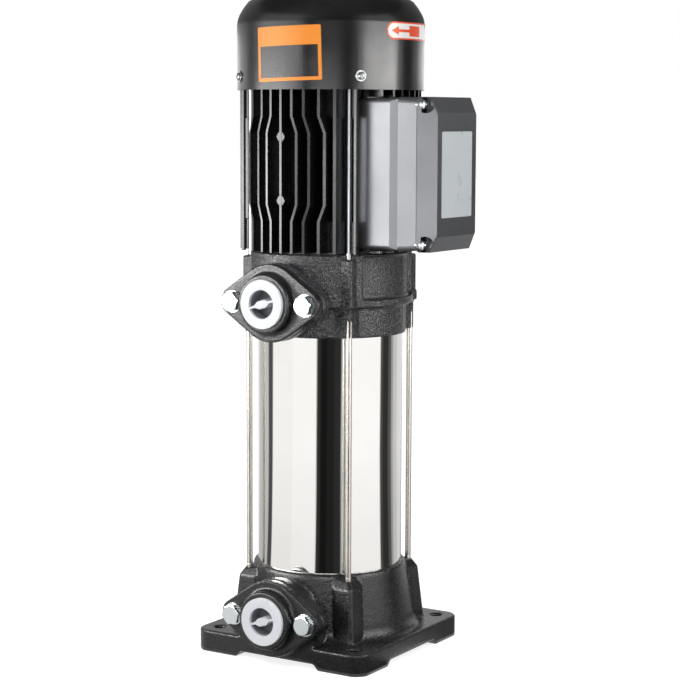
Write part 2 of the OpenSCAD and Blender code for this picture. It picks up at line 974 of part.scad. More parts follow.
// Upper bearing bracket: a dish with four lugs that carry the motor bolts and the fan cover
module end_shield() {
    hub = bearing_out_r + 5;
    color(BLACK)
        difference() {
            union() {
                cylinder_between(tube_r, frame_top, frame_top + 4);
                cylinder_between(stator_r, frame_top - 2.5, frame_top + 1);
                cylinder_between(hub, frame_top - 4, shield_top);
                for (spoke = [0:11])
                    rotate(30 * spoke)
                        translate([hub - 2, -1.2, frame_top + 3])
                            cube([tube_r - hub, 2.4, 3.5]);
                intersection() {
                    cylinder_between(shield_lug_r, frame_top, shield_top);
                    for (quarter = [0:3])
                        rotate(90 * quarter + 45)
                            translate([tube_r - 8, -11, frame_top])
                                cube([40, 22, shield_t]);
                }
            }
            ring(stator_r - 6, hub - 0.5, frame_top - 5, frame_top);
            cylinder_between(bearing_out_r + fit, frame_top - 5, bearing_top_z + bearing_t + 1);
            cylinder_between(bearing_in_r + 2, frame_top, shield_top + 1);
            four_corners(motor_bolt_pitch)
                translate([0, 0, frame_top - 1])
                    cylinder(r = motor_bolt_d / 2 + fit, h = shield_t + 2);
            at_cover_screws()
                translate([0, 0, -14])
                    cylinder(r = 1.75 + fit, h = 16);
        }
}

// Places the fan cover screws, pointing outwards from the wall of the cover
module at_cover_screws() {
    for (quarter = [0:3])
        rotate(90 * quarter - 45 + cover_screw_turn)
            translate([cover_r, 0, cover_screw_z])
                rotate([0, 90, 0])
                    children();
}

module stator_core() {
    color(LAMINATION)
        difference() {
            ring(stator_r, rotor_r + 0.4, stator_z0, stator_z1);
            for (slot = [0:23])
                rotate(15 * slot)
                    translate([rotor_r, -1.2, stator_z0 - 1])
                        cube([12, 2.4, stator_len + 2]);
        }
}

module stator_windings() {
    overhang = 17;
    color(COPPER) {
        winding_end(stator_z0 - overhang, stator_z0);
        winding_end(stator_z1, stator_z1 + overhang);
    }
}

module winding_end(z0, z1) {
    mid = (z0 + z1) / 2;
    half = (z1 - z0) / 2;
    rotate_extrude()
        polygon([
            [rotor_r + 4, z0 + 3], [rotor_r + 7, z0], [stator_r - 7, z0], [stator_r - 3, z0 + 4],
            [stator_r - 2.4, mid], [stator_r - 3, z1 - 4], [stator_r - 7, z1],
            [rotor_r + 7, z1], [rotor_r + 4, mid + half - 3]
        ]);
}

module rotor_core() {
    shaft_r = bearing_in_r + 3;
    color(LAMINATION) {
        ring(rotor_r, shaft_r + fit, stator_z0, stator_z1);
        ring(rotor_r - 1, rotor_r - 9, stator_z0 - 6, stator_z0);
        ring(rotor_r - 1, rotor_r - 9, stator_z1, stator_z1 + 6);
        for (fin = [0:7], z = [stator_z0 - 10, stator_z1 + 5.9])
            rotate(45 * fin)
                translate([rotor_r - 8, -1, z])
                    cube([6, 2, 4.1]);
    }
}

// Fan and its cover

module cooling_fan() {
    bore = bearing_in_r - 1.5;
    color(BLACK)
        difference() {
            union() {
                cylinder_between(14, fan_z0, fan_z0 + fan_h - 2);
                cylinder_between(fan_r - 6, fan_z0 + 8, fan_z0 + 10);
                for (blade = [0:fan_blades - 1])
                    rotate(360 / fan_blades * blade)
                        translate([0, 1.1, 0])
                            rotate([90, 0, 0])
                                linear_extrude(2.2)
                                    polygon([
                                        [10, fan_z0 + 8], [34, fan_z0], [fan_r - 4, fan_z0],
                                        [fan_r, fan_z0 + 4], [fan_r, fan_z0 + fan_h - 8],
                                        [fan_r - 5, fan_z0 + fan_h], [24, fan_z0 + fan_h], [10, fan_z0 + fan_h - 8]
                                    ]);
            }
            cylinder_between(bore + fit, fan_z0 - 1, fan_z0 + fan_h + 1);
        }
}

// Outline of the cover from its open edge to the rounded shoulder and the flat top
function cover_profile(inset) = [
    [cover_r - inset, cover_z0 - inset * 4],
    [cover_r - inset, cover_top - 19],
    [cover_r - 1.2 - inset * 0.98, cover_top - 13],
    [cover_r - 3.2 - inset * 0.95, cover_top - 8.6],
    [cover_r - 5.2 - inset * 0.9, cover_top - 5.4 - inset * 0.3],
    [cover_r - 9 - inset * 0.7, cover_top - 1.2 - inset * 0.7],
    [cover_r - 12 - inset * 0.5, cover_top - inset],
    [0, cover_top - inset],
    [0, cover_z0 - inset * 4]
];

module fan_cover() {
    color(BLACK)
        difference() {
            rotate_extrude($fn = 128)
                polygon(cover_profile(0));
            rotate_extrude($fn = 128)
                polygon(cover_profile(cover_wall));
            translate([0, 0, cover_top - 3])
                linear_extrude(6)
                    grille_slots();
            at_cover_screws()
                translate([0, 0, -4])
                    cylinder(r = 1.75 + 0.1, h = 8);
        }
}

// Rings of air slots, split by straight bars
module grille_slots() {
    slot = 3.2;
    first = 16;
    pitch = 6.4;
    rings = floor((cover_r - 20 - first) / pitch);
    difference() {
        for (i = [0:rings])
            difference() {
                circle(first + i * pitch + slot);
                circle(first + i * pitch);
            }
        for (bar = [0:3])
            rotate(45 * bar)
                square([2 * cover_r, 4], center = true);
    }
}

module fan_cover_screws() {
    color(ZINC)
        at_cover_screws() {
            rotate_extrude()
                polygon([[0, 0], [3.5, 0], [3.5, 0.7], [2.6, 1.9], [1.2, 2.4], [0, 2.4]]);
            translate([0, 0, -10])
                cylinder(r = 1.75, h = 10.1);
        }
}

// Terminal box, with its outline in the plane of the motor pad

module box_outline(grow) {
    rounded_rect(box_w + 2 * grow, box_h + 2 * grow, box_round + grow);
}

module at_box(x) {
    translate([x, 0, box_mid_z])
        toward_x()
            children();
}

module lid_screw_places() {
    for (sy = [-1, 1], sz = [-1, 1])
        translate([sy * lid_screw_y, sz * lid_screw_z, 0])
            children();
}

module terminal_box() {
    post_r = 4.4;
    color(BLACK)
        difference() {
            union() {
                difference() {
                    at_box(box_back_x)
                        linear_extrude(box_seam_x - box_back_x)
                            box_outline(-1);
                    at_box(tube_r + box_wall)
                        linear_extrude(box_seam_x)
                            box_outline(-1 - box_wall);
                }
                at_box(box_rim_x)
                    linear_extrude(box_seam_x - box_rim_x)
                        difference() {
                            box_outline(-0.3);
                            box_outline(-1 - box_wall);
                        }
                at_box(tube_r + 1)
                    lid_screw_places()
                        cylinder(r = post_r, h = box_seam_x - tube_r - 1);
                gland_place()
                    translate([0, 0, -gland_boss_h])
                        cylinder(r = gland_boss_r, h = gland_boss_h);
            }
            translate([0, 0, box_z0 - 1])
                linear_extrude(box_h + 2)
                    square([2 * tube_r + 0.1, 2 * pad_half + 0.8], center = true);
            cylinder_between(tube_r + 0.1, box_z0 - 1, box_z1 + 1);
            at_box(box_seam_x - 14)
                lid_screw_places()
                    cylinder(r = 2 + fit, h = 20);
            gland_place()
                translate([0, 0, -20])
                    cylinder(r = gland_thread_r + fit, h = 40);
            translate([tube_r - 5, 0, box_mid_z])
                rotate([0, 90, 0])
                    cylinder(r = 9, h = 15);
        }
}

// The cable gland is on the side of the box away from the ports
module gland_place() {
    translate([gland_x, box_w / 2, gland_z])
        rotate([-90, 0, 0])
            children();
}

module cable_gland() {
    color(BLACK)
        gland_place()
            difference() {
                union() {
                    translate([0, 0, -gland_thread_len])
                        cylinder(r = gland_thread_r, h = gland_thread_len + 1);
                    cylinder(r = 11, h = 4.5, $fn = 6);
                    translate([0, 0, 4.4])
                        cylinder(r = 9, h = 2.2);
                    translate([0, 0, 6.5])
                        cylinder(r = 10.6, h = 8, $fn = 6);
                    translate([0, 0, 14.4])
                        cylinder(r1 = 9, r2 = 7.4, h = 4);
                }
                translate([0, 0, -gland_thread_len - 1])
                    cylinder(r = gland_bore_r, h = 40);
            }
}

module lid_gasket() {
    color(RUBBER)
        at_box(box_seam_x)
            linear_extrude(lid_gap)
                difference() {
                    box_outline(-1.4);
                    box_outline(-1 - box_wall);
                    lid_screw_places()
                        circle(2 + slack);
                }
}

// The lid tapers from its skirt to a smaller face, with a round pocket at each corner
module lid_solid(inset, depth_in) {
    hull() {
        at_box(box_seam_x + lid_gap)
            linear_extrude(lid_skirt_x - box_seam_x - lid_gap)
                rounded_rect(box_w - 2 * inset, box_h - 2 * inset, box_round, $fn = 32);
        at_box(box_seam_x + lid_gap)
            linear_extrude(lid_d - lid_gap - depth_in)
                rounded_rect(box_w - 2 * lid_chamfer - 2 * inset, box_h - 3.3 * lid_chamfer - 2 * inset, 3, $fn = 32);
    }
}

module terminal_lid() {
    color(BLACK)
        difference() {
            union() {
                difference() {
                    lid_solid(0, 0);
                    translate([-lid_gap - 0.1, 0, 0])
                        lid_solid(box_wall, box_wall);
                }
                intersection() {
                    lid_solid(0.2, 0.2);
                    at_box(box_seam_x + lid_gap)
                        lid_screw_places()
                            cylinder(r = lid_pocket_r + 2, h = lid_d);
                }
            }
            at_box(lid_skirt_x - 4)
                lid_screw_places()
                    cylinder(r = lid_pocket_r, h = lid_d);
            at_box(box_seam_x - 1)
                lid_screw_places()
                    cylinder(r = 2 + fit, h = lid_d);
        }
}

module lid_screws() {
    seat_x = lid_skirt_x - 4;
    color(ZINC)
        at_box(seat_x)
            lid_screw_places() {
                rotate_extrude()
                    polygon([[0, 0], [4, 0], [4, 1.2], [3, 2.5], [1.4, 3], [0, 3]]);
                translate([0, 0, box_seam_x - 12 - seat_x])
                    cylinder(r = 2, h = seat_x - box_seam_x + 12.1);
            }
}

module terminal_block() {
    color(PLASTIC)
        at_box(tube_r + box_wall)
            translate([0, 18, 0]) {
                translate([-22, -14, 0])
                    cube([44, 28, 12]);
                for (i = [-1:1], j = [-1, 1])
                    translate([14 * i, 7 * j, 11])
                        cylinder(r = 3, h = 8);
            }
}

module capacitor() {
    color(PLASTIC)
        translate([tube_r + box_wall + 16.5, -3, box_z0 + 10])
            cylinder(r = 16.3, h = 50);
}

base_casting();
drain_plug();
outer_sleeve();
sleeve_o_rings();
tie_rods();
pump_head();
vent_plug();
counter_flange(suction_z);  // suction_flange
counter_flange(discharge_z);  // discharge_flange
flange_gaskets();
flange_bolts();
port_cap(suction_z);  // suction_cap
port_cap(discharge_z);  // discharge_cap
inlet_plate();
shaft_bush();
clamp_ring();
shaft();
shaft_nut();
impeller_spacers();
for (i = [1:stages])
    impeller(i);
for (i = [1:stages])
    stage_casing(i);
seal_seat();
seal_ring();
seal_spring();
slinger();
translate([0, 0, bearing_low_z]) bearing_outer();  // lower_bearing_outer
translate([0, 0, bearing_low_z]) bearing_inner();  // lower_bearing_inner
translate([0, 0, bearing_low_z]) bearing_balls();  // lower_bearing_balls
translate([0, 0, bearing_top_z]) bearing_outer();  // upper_bearing_outer
translate([0, 0, bearing_top_z]) bearing_inner();  // upper_bearing_inner
translate([0, 0, bearing_top_z]) bearing_balls();  // upper_bearing_balls
wave_washer();
motor_frame();
motor_bolts();
end_shield();
stator_core();
stator_windings();
rotor_core();
cooling_fan();
fan_cover();
fan_cover_screws();
terminal_box();
terminal_lid();
lid_gasket();
lid_screws();
terminal_block();
capacitor();
cable_gland();
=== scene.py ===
"""Looks of a vertical multistage pump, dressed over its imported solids.

Lengths are metres, +Z is up along the shaft, -Y is the side of the two ports and +X the side of the
terminal box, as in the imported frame.
"""

import json
import logging
import math
from dataclasses import dataclass, field
from enum import Enum
from functools import cache

import bmesh
import bpy
from mathutils import Matrix, Vector


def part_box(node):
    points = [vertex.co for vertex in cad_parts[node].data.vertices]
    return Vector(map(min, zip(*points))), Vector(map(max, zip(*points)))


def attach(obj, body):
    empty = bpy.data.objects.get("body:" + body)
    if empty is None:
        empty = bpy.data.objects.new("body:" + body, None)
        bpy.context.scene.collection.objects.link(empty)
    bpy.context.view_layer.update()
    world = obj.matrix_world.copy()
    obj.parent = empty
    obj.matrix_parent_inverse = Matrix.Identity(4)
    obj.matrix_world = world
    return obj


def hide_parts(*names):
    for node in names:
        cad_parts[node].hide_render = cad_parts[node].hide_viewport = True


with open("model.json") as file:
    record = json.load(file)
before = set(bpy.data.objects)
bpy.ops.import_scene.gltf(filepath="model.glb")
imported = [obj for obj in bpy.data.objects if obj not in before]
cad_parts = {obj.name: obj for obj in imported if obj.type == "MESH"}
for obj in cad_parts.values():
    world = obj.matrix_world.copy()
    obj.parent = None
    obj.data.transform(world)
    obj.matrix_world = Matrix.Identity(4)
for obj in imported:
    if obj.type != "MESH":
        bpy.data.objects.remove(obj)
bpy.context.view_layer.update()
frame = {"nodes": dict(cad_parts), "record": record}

LOG = logging.getLogger("pump")
MM = 0.001
RGB = tuple[float, float, float]
Point2 = tuple[float, float]
Point3 = tuple[float, float, float]
Panel = tuple[float, float, float]
Mesh = bmesh.types.BMesh
Socket = bpy.types.NodeSocket
Feed = float | Socket
SEAM = 0.001 * MM


class Slot(Enum):
    """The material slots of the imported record."""

    CAST_BLACK = "cast_iron_black"
    CAST_ROUGH = "cast_iron_rough"
    MIRROR_STEEL = "polished_stainless"
    STAINLESS = "stainless_steel"
    ZINC = "zinc_steel"
    WHITE_PLASTIC = "white_plastic"
    RUBBER = "black_rubber"
    PAINTED_ALUMINIUM = "painted_aluminium"
    PAINTED_SHEET = "painted_sheet"
    PAINTED_BOX = "painted_box"
    BLACK_PLASTIC = "black_plastic"
    BARE_STEEL = "bare_steel"
    COPPER = "copper_winding"
    CARBON = "seal_carbon"
    CERAMIC = "seal_ceramic"


class Body(Enum):
    """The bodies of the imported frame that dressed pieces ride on."""

    PUMP = "pump"
    SUCTION_CAP = "suction_cap"
    DISCHARGE_CAP = "discharge_cap"


def rgba(colour: RGB) -> tuple[float, float, float, float]:
    """Returns the colour with full opacity."""
    return (*colour, 1.0)


class NodeSheet:
    """Adds nodes to one node tree and joins their sockets."""

    def __init__(self, tree: bpy.types.NodeTree) -> None:
        """Clears the tree and starts on it.

        Args:
            tree: the node tree of a material, a world or a group.
        """
        self.tree = tree
        tree.nodes.clear()

    def add(self, kind: str, inputs: dict | None = None, **settings: object) -> bpy.types.Node:
        """Adds one node.

        Args:
            kind: the node's type name.
            inputs: input name to a value, or to the socket that feeds it.
            settings: the node's own properties.

        Returns:
            The new node.
        """
        node = self.tree.nodes.new(kind)
        for name, value in settings.items():
            setattr(node, name, value)
        for name, value in (inputs or {}).items():
            if isinstance(value, Socket):
                self.tree.links.new(value, node.inputs[name])
            else:
                node.inputs[name].default_value = value
        return node

    def math(self, operation: str, first: Feed, second: Feed = 0.0) -> Socket:
        """Combines two values.

        Args:
            operation: the name of the Math node's operation.
            first: a number or a socket.
            second: a number or a socket.

        Returns:
            The socket with the result.
        """
        return self.add("ShaderNodeMath", {0: first, 1: second}, operation=operation).outputs[0]

    def span(self, value: Feed, low: float, high: float, start: float = 0.0, end: float = 1.0) -> Socket:
        """Returns a value mapped from low..high to start..end and clamped."""
        inputs = {"Value": value, "From Min": low, "From Max": high, "To Min": start, "To Max": end}
        return self.add("ShaderNodeMapRange", inputs, clamp=True).outputs["Result"]

    def mix(self, mask: Feed, first: RGB | Socket, second: RGB | Socket) -> Socket:
        """Mixes two colours by a mask.

        Args:
            mask: 0 gives the first colour and 1 the second.
            first: a colour or a socket.
            second: a colour or a socket.

        Returns:
            The socket with the mixed colour.
        """
        colours = [rgba(c) if isinstance(c, tuple) else c for c in (first, second)]
        node = self.add("ShaderNodeMix", {0: mask, 6: colours[0], 7: colours[1]}, data_type="RGBA")
        return node.outputs[2]

    def noise(self, coords: Socket, scale: Feed, detail: float = 3.0, roughness: float = 0.5) -> Socket:
        """Returns the value of a noise texture read at coords."""
        inputs = {"Vector": coords, "Scale": scale, "Detail": detail, "Roughness": roughness}
        return self.add("ShaderNodeTexNoise", inputs).outputs["Fac"]

    def place(self, stretch: Point3 = (1.0, 1.0, 1.0)) -> Socket:
        """Returns object coordinates, in metres, stretched along each axis."""
        coords = self.add("ShaderNodeTexCoord").outputs["Object"]
        return self.add("ShaderNodeMapping", {"Vector": coords, "Scale": stretch}).outputs["Vector"]


class Effect(Enum):
    """The shared effects, each a node group that is built once."""

    CAST_SKIN = "cast_skin"
    PAINT_SKIN = "paint_skin"
    DRAWN_METAL = "drawn_metal"
    RUBBED_EDGE = "rubbed_edge"
    SETTLED_DUST = "settled_dust"


@dataclass
class EffectShelf:
    """Builds each shared effect once and places it in materials."""

    built: dict[Effect, bpy.types.NodeTree] = field(default_factory=dict)

    def place(self, sheet: NodeSheet, effect: Effect, **values: float) -> bpy.types.bpy_prop_collection:
        """Places an effect in a material.

        Args:
            sheet: the material's node sheet.
            effect: the effect to place.
            values: the inputs that differ from their defaults, by name.

        Returns:
            The group node's outputs.
        """
        if effect not in self.built:
            self.built[effect] = getattr(self, effect.value)()
        return sheet.add("ShaderNodeGroup", values, node_tree=self.built[effect]).outputs

    def start(self, name: str, inputs: dict[str, float], outputs: list[str]) -> tuple[NodeSheet, dict]:
        """Starts a group with float inputs and outputs.

        Args:
            name: the group's name.
            inputs: input name to its default value.
            outputs: the names of the outputs.

        Returns:
            The group's sheet, and its input sockets by name.
        """
        tree = bpy.data.node_groups.new(name, "ShaderNodeTree")
        for title, value in inputs.items():
            socket = tree.interface.new_socket(title, in_out="INPUT", socket_type="NodeSocketFloat")
            socket.default_value = value
        for title in outputs:
            tree.interface.new_socket(title, in_out="OUTPUT", socket_type="NodeSocketFloat")
        sheet = NodeSheet(tree)
        return sheet, sheet.add("NodeGroupInput").outputs

    def cast_skin(self) -> bpy.types.NodeTree:
        """Makes the grain of a sand-cast surface, with a mask of the grains that take painted glints and a
        lower roughness.

        Returns:
            The node group.
        """
        sheet, given = self.start("cast_skin", {"Grain": 900.0, "Pits": 0.5}, ["Height", "GlintGrains", "Patch"])
        coords = sheet.place()
        grain = sheet.noise(coords, given["Grain"], 0.6, 0.5)
        fine = sheet.noise(coords, sheet.math("MULTIPLY", given["Grain"], 2.2), 0.0)
        coarse = sheet.noise(coords, sheet.math("MULTIPLY", given["Grain"], 0.3), 2.0)
        patch = sheet.noise(coords, 28.0, 3.0)
        cell_scale = sheet.math("MULTIPLY", given["Grain"], 0.7)
        cells = sheet.add("ShaderNodeTexVoronoi", {"Vector": coords, "Scale": cell_scale}).outputs["Distance"]
        pits = sheet.math("MULTIPLY", sheet.span(cells, 0.0, 0.35, 1.0, 0.0), given["Pits"])
        height = sheet.math("ADD", grain, sheet.math("MULTIPLY", coarse, 0.7))
        height = sheet.math("ADD", height, sheet.math("MULTIPLY", fine, 0.1))
        sheet.add("NodeGroupOutput", {
            "Height": sheet.math("SUBTRACT", height, pits),
            "GlintGrains": sheet.span(grain, 0.5, 0.66),
            "Patch": sheet.span(patch, 0.35, 0.65),
        })
        return sheet.tree

    def paint_skin(self) -> bpy.types.NodeTree:
        """Makes the slight orange peel of sprayed paint, and where hands have smudged it.

        Returns:
            The node group.
        """
        sheet, given = self.start("paint_skin", {"Peel": 700.0, "Smudge": 14.0}, ["Height", "Smear", "Tone"])
        coords = sheet.place()
        peel = sheet.noise(coords, given["Peel"], 2.0)
        fine = sheet.noise(coords, sheet.math("MULTIPLY", given["Peel"], 3.1), 2.0)
        smear = sheet.noise(coords, given["Smudge"], 4.0, 0.62)
        sheet.add("NodeGroupOutput", {
            "Height": sheet.math("ADD", peel, sheet.math("MULTIPLY", fine, 0.4)),
            "Smear": sheet.span(smear, 0.35, 0.68),
            "Tone": sheet.span(fine, 0.3, 0.7),
        })
        return sheet.tree

    def drawn_metal(self) -> bpy.types.NodeTree:
        """Makes the faint lines that drawing, rolling or turning leaves on a metal part.

        Returns:
            The node group.
        """
        inputs = {"Lines": 1500.0, "Run": 20.0}
        sheet, given = self.start("drawn_metal", inputs, ["Height", "Streak", "Cloud"])
        across = sheet.place((1.0, 1.0, 0.012))
        along = sheet.place((0.02, 0.02, 1.0))
        streak = sheet.noise(across, given["Lines"], 3.0)
        ringed = sheet.noise(along, given["Lines"], 2.0)
        cloud = sheet.noise(sheet.place(), given["Run"], 3.0)
        sheet.add("NodeGroupOutput", {
            "Height": sheet.math("ADD", streak, sheet.math("MULTIPLY", ringed, 0.5)),
            "Streak": sheet.span(streak, 0.3, 0.7),
            "Cloud": sheet.span(cloud, 0.35, 0.65),
        })
        return sheet.tree

    def rubbed_edge(self) -> bpy.types.NodeTree:
        """Makes Mask, which is high on outward edges and breaks up along them.

        Returns:
            The node group.
        """
        sheet, given = self.start("rubbed_edge", {"Reach": 0.56, "Breaks": 160.0}, ["Mask"])
        pointed = sheet.add("ShaderNodeNewGeometry").outputs["Pointiness"]
        edge = sheet.span(sheet.math("SUBTRACT", pointed, given["Reach"]), 0.0, 0.12)
        breaks = sheet.span(sheet.noise(sheet.place(), given["Breaks"], 4.0), 0.4, 0.62)
        sheet.add("NodeGroupOutput", {"Mask": sheet.math("MULTIPLY", edge, breaks)})
        return sheet.tree

    def settled_dust(self) -> bpy.types.NodeTree:
        """Makes Mask, a thin film on faces that look up.

        Returns:
            The node group.
        """
        sheet, given = self.start("settled_dust", {"Amount": 0.3}, ["Mask"])
        normal = sheet.add("ShaderNodeNewGeometry").outputs["Normal"]
        up = sheet.add("ShaderNodeSeparateXYZ", {0: normal}).outputs["Z"]
        film = sheet.span(sheet.noise(sheet.place(), 60.0, 5.0, 0.65), 0.3, 0.7)
        lying = sheet.math("MULTIPLY", sheet.span(up, 0.6, 0.98), film)
        sheet.add("NodeGroupOutput", {"Mask": sheet.math("MULTIPLY", lying, given["Amount"])})
        return sheet.tree


SHELF = EffectShelf()


@dataclass(frozen=True)
class Finish:
    """What every finish shares: a name, a colour, a roughness, and how strong and deep its bump is."""

    name: str
    colour: RGB
    roughness: float
    relief: float = 0.1
    deep: float = 0.05 * MM

    def constants(self) -> dict[str, float | RGB]:
        """Returns the constant inputs that this kind of finish sets on the shader."""
        return {}

    def layers(self, sheet: NodeSheet) -> tuple[Socket, Socket, Socket]:
        """Adds what varies over the surface. Each kind of finish has its own.

        Args:
            sheet: the material's node sheet.

        Returns:
            The sockets of colour, roughness and height.
        """
        raise NotImplementedError(self.name)

    def toned(self, share: float) -> RGB:
        """Returns the finish's colour at a share of its brightness."""
        return tuple(share * c for c in self.colour)

    @cache
    def material(self) -> bpy.types.Material:
        """Builds the material, the first time that a piece asks for it.

        Returns:
            The material.
        """
        made = bpy.data.materials.new(self.name)
        made.use_nodes = True
        made.diffuse_color = rgba(self.colour)
        sheet = NodeSheet(made.node_tree)
        plain = {"Base Color": rgba(self.colour), "Roughness": self.roughness, **self.constants()}
        shader = sheet.add("ShaderNodeBsdfPrincipled", plain)
        sheet.add("ShaderNodeOutputMaterial", {"Surface": shader.outputs["BSDF"]})
        base, rough, height = self.layers(sheet)
        bump = {"Height": height, "Strength": self.relief, "Distance": self.deep}
        normal = sheet.add("ShaderNodeBump", bump).outputs["Normal"]
        for name, socket in (("Base Color", base), ("Roughness", rough), ("Normal", normal)):
            sheet.tree.links.new(socket, shader.inputs[name])
        return made


@dataclass(frozen=True)
class CastFinish(Finish):
    """Sand-cast iron under black paint."""

    deep: float = 0.5 * MM
    # Painted glints lighten the brightest grains toward this colour, as strongly as the glint share below
    # says; rubbed edges take the same colour as wear
    glint_and_wear: RGB = (0.16, 0.16, 0.17)
    grain: float = 900.0
    painted_glint: float = 0.3
    wear: float = 0.4
    dusty: float = 0.08
    dust: RGB = (0.2, 0.2, 0.2)

    def layers(self, sheet: NodeSheet) -> tuple[Socket, Socket, Socket]:
        """Adds grain, bright specks, rubbed edges and dust.

        Args:
            sheet: the material's node sheet.

        Returns:
            Adds grain, painted glints on the brightest grains, rubbed edges and dust.
        """
        skin = SHELF.place(sheet, Effect.CAST_SKIN, Grain=self.grain)
        edge = SHELF.place(sheet, Effect.RUBBED_EDGE)["Mask"]
        film = SHELF.place(sheet, Effect.SETTLED_DUST, Amount=self.dusty)["Mask"]
        base = sheet.mix(skin["Patch"], self.toned(0.6), self.colour)
        # Painted glints: grains that would catch light are lightened in the base colour
        base = sheet.mix(sheet.math("MULTIPLY", skin["GlintGrains"], self.painted_glint), base, self.glint_and_wear)
        base = sheet.mix(sheet.math("MULTIPLY", edge, self.wear), base, self.glint_and_wear)
        base = sheet.mix(film, base, self.dust)
        rough = sheet.span(skin["GlintGrains"], 0.0, 1.0, self.roughness + 0.08, self.roughness - 0.05)
        return base, rough, skin["Height"]


@dataclass(frozen=True)
class PaintFinish(Finish):
    """Sprayed paint on aluminium or sheet."""

    deep: float = 0.08 * MM
    worn: RGB = (0.2, 0.2, 0.21)
    wear: float = 0.25
    metallic: float = 0.0
    dusty: float = 0.05
    dust: RGB = (0.3, 0.3, 0.3)

    def constants(self) -> dict[str, float | RGB]:
        """Returns how metallic the paint is."""
        return {"Metallic": self.metallic}

    def layers(self, sheet: NodeSheet) -> tuple[Socket, Socket, Socket]:
        """Adds orange peel, smudges, lightly rubbed edges and dust.

        Args:
            sheet: the material's node sheet.

        Returns:
            The sockets of colour, roughness and height.
        """
        skin = SHELF.place(sheet, Effect.PAINT_SKIN)
        edge = SHELF.place(sheet, Effect.RUBBED_EDGE, Reach=0.6)["Mask"]
        film = SHELF.place(sheet, Effect.SETTLED_DUST, Amount=self.dusty)["Mask"]
        base = sheet.mix(skin["Tone"], self.toned(0.8), self.colour)
        base = sheet.mix(sheet.math("MULTIPLY", edge, self.wear), base, self.worn)
        base = sheet.mix(film, base, self.dust)
        rough = sheet.span(skin["Smear"], 0.0, 1.0, self.roughness - 0.03, self.roughness + 0.05)
        return base, rough, skin["Height"]


@dataclass(frozen=True)
class MetalFinish(Finish):
    """Bare or plated metal."""

    deep: float = 0.02 * MM
    shade: RGB = (0.5, 0.5, 0.52)
    cloudy: float = 0.3

    def constants(self) -> dict[str, float | RGB]:
        """Returns a fully metallic shader's constant."""
        return {"Metallic": 1.0}

    def layers(self, sheet: NodeSheet) -> tuple[Socket, Socket, Socket]:
        """Adds drawing lines and cloudy plating.

        Args:
            sheet: the material's node sheet.

        Returns:
            The sockets of colour, roughness and height.
        """
        skin = SHELF.place(sheet, Effect.DRAWN_METAL)
        base = sheet.mix(sheet.math("MULTIPLY", skin["Cloud"], self.cloudy), self.colour, self.shade)
        rough = sheet.span(skin["Streak"], 0.0, 1.0, self.roughness * 0.85, self.roughness * 1.25)
        return base, rough, skin["Height"]


@dataclass(frozen=True)
class MouldedFinish(Finish):
    """Moulded plastic, rubber or lapped seal faces."""

    pale: RGB = (0.2, 0.2, 0.2)
    milky: float = 0.0
    bleed: Point3 = (0.004, 0.004, 0.005)

    def constants(self) -> dict[str, float | RGB]:
        """Returns how far light spreads inside the material."""
        return {"Subsurface Weight": self.milky, "Subsurface Radius": self.bleed, "Subsurface Scale": 1.0}

    def layers(self, sheet: NodeSheet) -> tuple[Socket, Socket, Socket]:
        """Adds a fine moulding grain and slow changes of tone.

        Args:
            sheet: the material's node sheet.

        Returns:
            The sockets of colour, roughness and height.
        """
        skin = SHELF.place(sheet, Effect.PAINT_SKIN, Peel=1400.0, Smudge=30.0)
        base = sheet.mix(sheet.math("MULTIPLY", skin["Smear"], 0.3), self.colour, self.pale)
        rough = sheet.span(skin["Smear"], 0.0, 1.0, self.roughness - 0.04, self.roughness + 0.06)
        return base, rough, skin["Height"]


BLACK_PAINT = (0.006, 0.006, 0.007)
FINISHES: dict[Slot, Finish] = {
    # Both castings carry painted glints: grains lightened in colour as if they caught light
    Slot.CAST_BLACK: CastFinish(
        "black_cast_iron", BLACK_PAINT, 0.2, relief=0.6, deep=0.36 * MM, painted_glint=0.12),
    Slot.CAST_ROUGH: CastFinish(
        "rough_cast_iron", BLACK_PAINT, 0.2, relief=0.85, deep=0.7 * MM, glint_and_wear=(0.28, 0.28, 0.3),
        grain=820.0, painted_glint=0.4),
    Slot.MIRROR_STEEL: MetalFinish("mirror_sleeve", (0.82, 0.815, 0.8), 0.04, relief=0.05, cloudy=0.08),
    Slot.STAINLESS: MetalFinish("bright_stainless", (0.66, 0.63, 0.58), 0.24, relief=0.3),
    Slot.ZINC: MetalFinish("bright_zinc", (0.72, 0.76, 0.77), 0.2, relief=0.3, shade=(0.52, 0.57, 0.6)),
    Slot.WHITE_PLASTIC: MouldedFinish(
        "milky_plastic", (0.78, 0.8, 0.85), 0.38, pale=(0.84, 0.86, 0.9), milky=0.35),
    Slot.RUBBER: MouldedFinish("black_rubber", (0.02, 0.02, 0.02), 0.7, pale=(0.05, 0.05, 0.05)),
    Slot.PAINTED_ALUMINIUM: PaintFinish("painted_frame", BLACK_PAINT, 0.26, relief=0.4),
    Slot.PAINTED_SHEET: PaintFinish("painted_cover", BLACK_PAINT, 0.22, relief=0.12),
    Slot.PAINTED_BOX: PaintFinish(
        "painted_box", (0.15, 0.154, 0.165), 0.36, relief=0.15, wear=0.0, metallic=0.8),
    Slot.BLACK_PLASTIC: MouldedFinish("black_plastic", (0.02, 0.02, 0.022), 0.45, pale=(0.05, 0.05, 0.05)),
    Slot.BARE_STEEL: MetalFinish("ground_steel", (0.55, 0.55, 0.56), 0.28, relief=0.4),
    Slot.COPPER: MetalFinish(
        "varnished_copper", (0.6, 0.27, 0.12), 0.35, relief=1.0, shade=(0.35, 0.12, 0.05)),
    Slot.CARBON: MouldedFinish("seal_carbon", (0.03, 0.03, 0.032), 0.25),
    Slot.CERAMIC: MouldedFinish("seal_ceramic", (0.82, 0.8, 0.76), 0.2, pale=(0.88, 0.87, 0.84)),
}

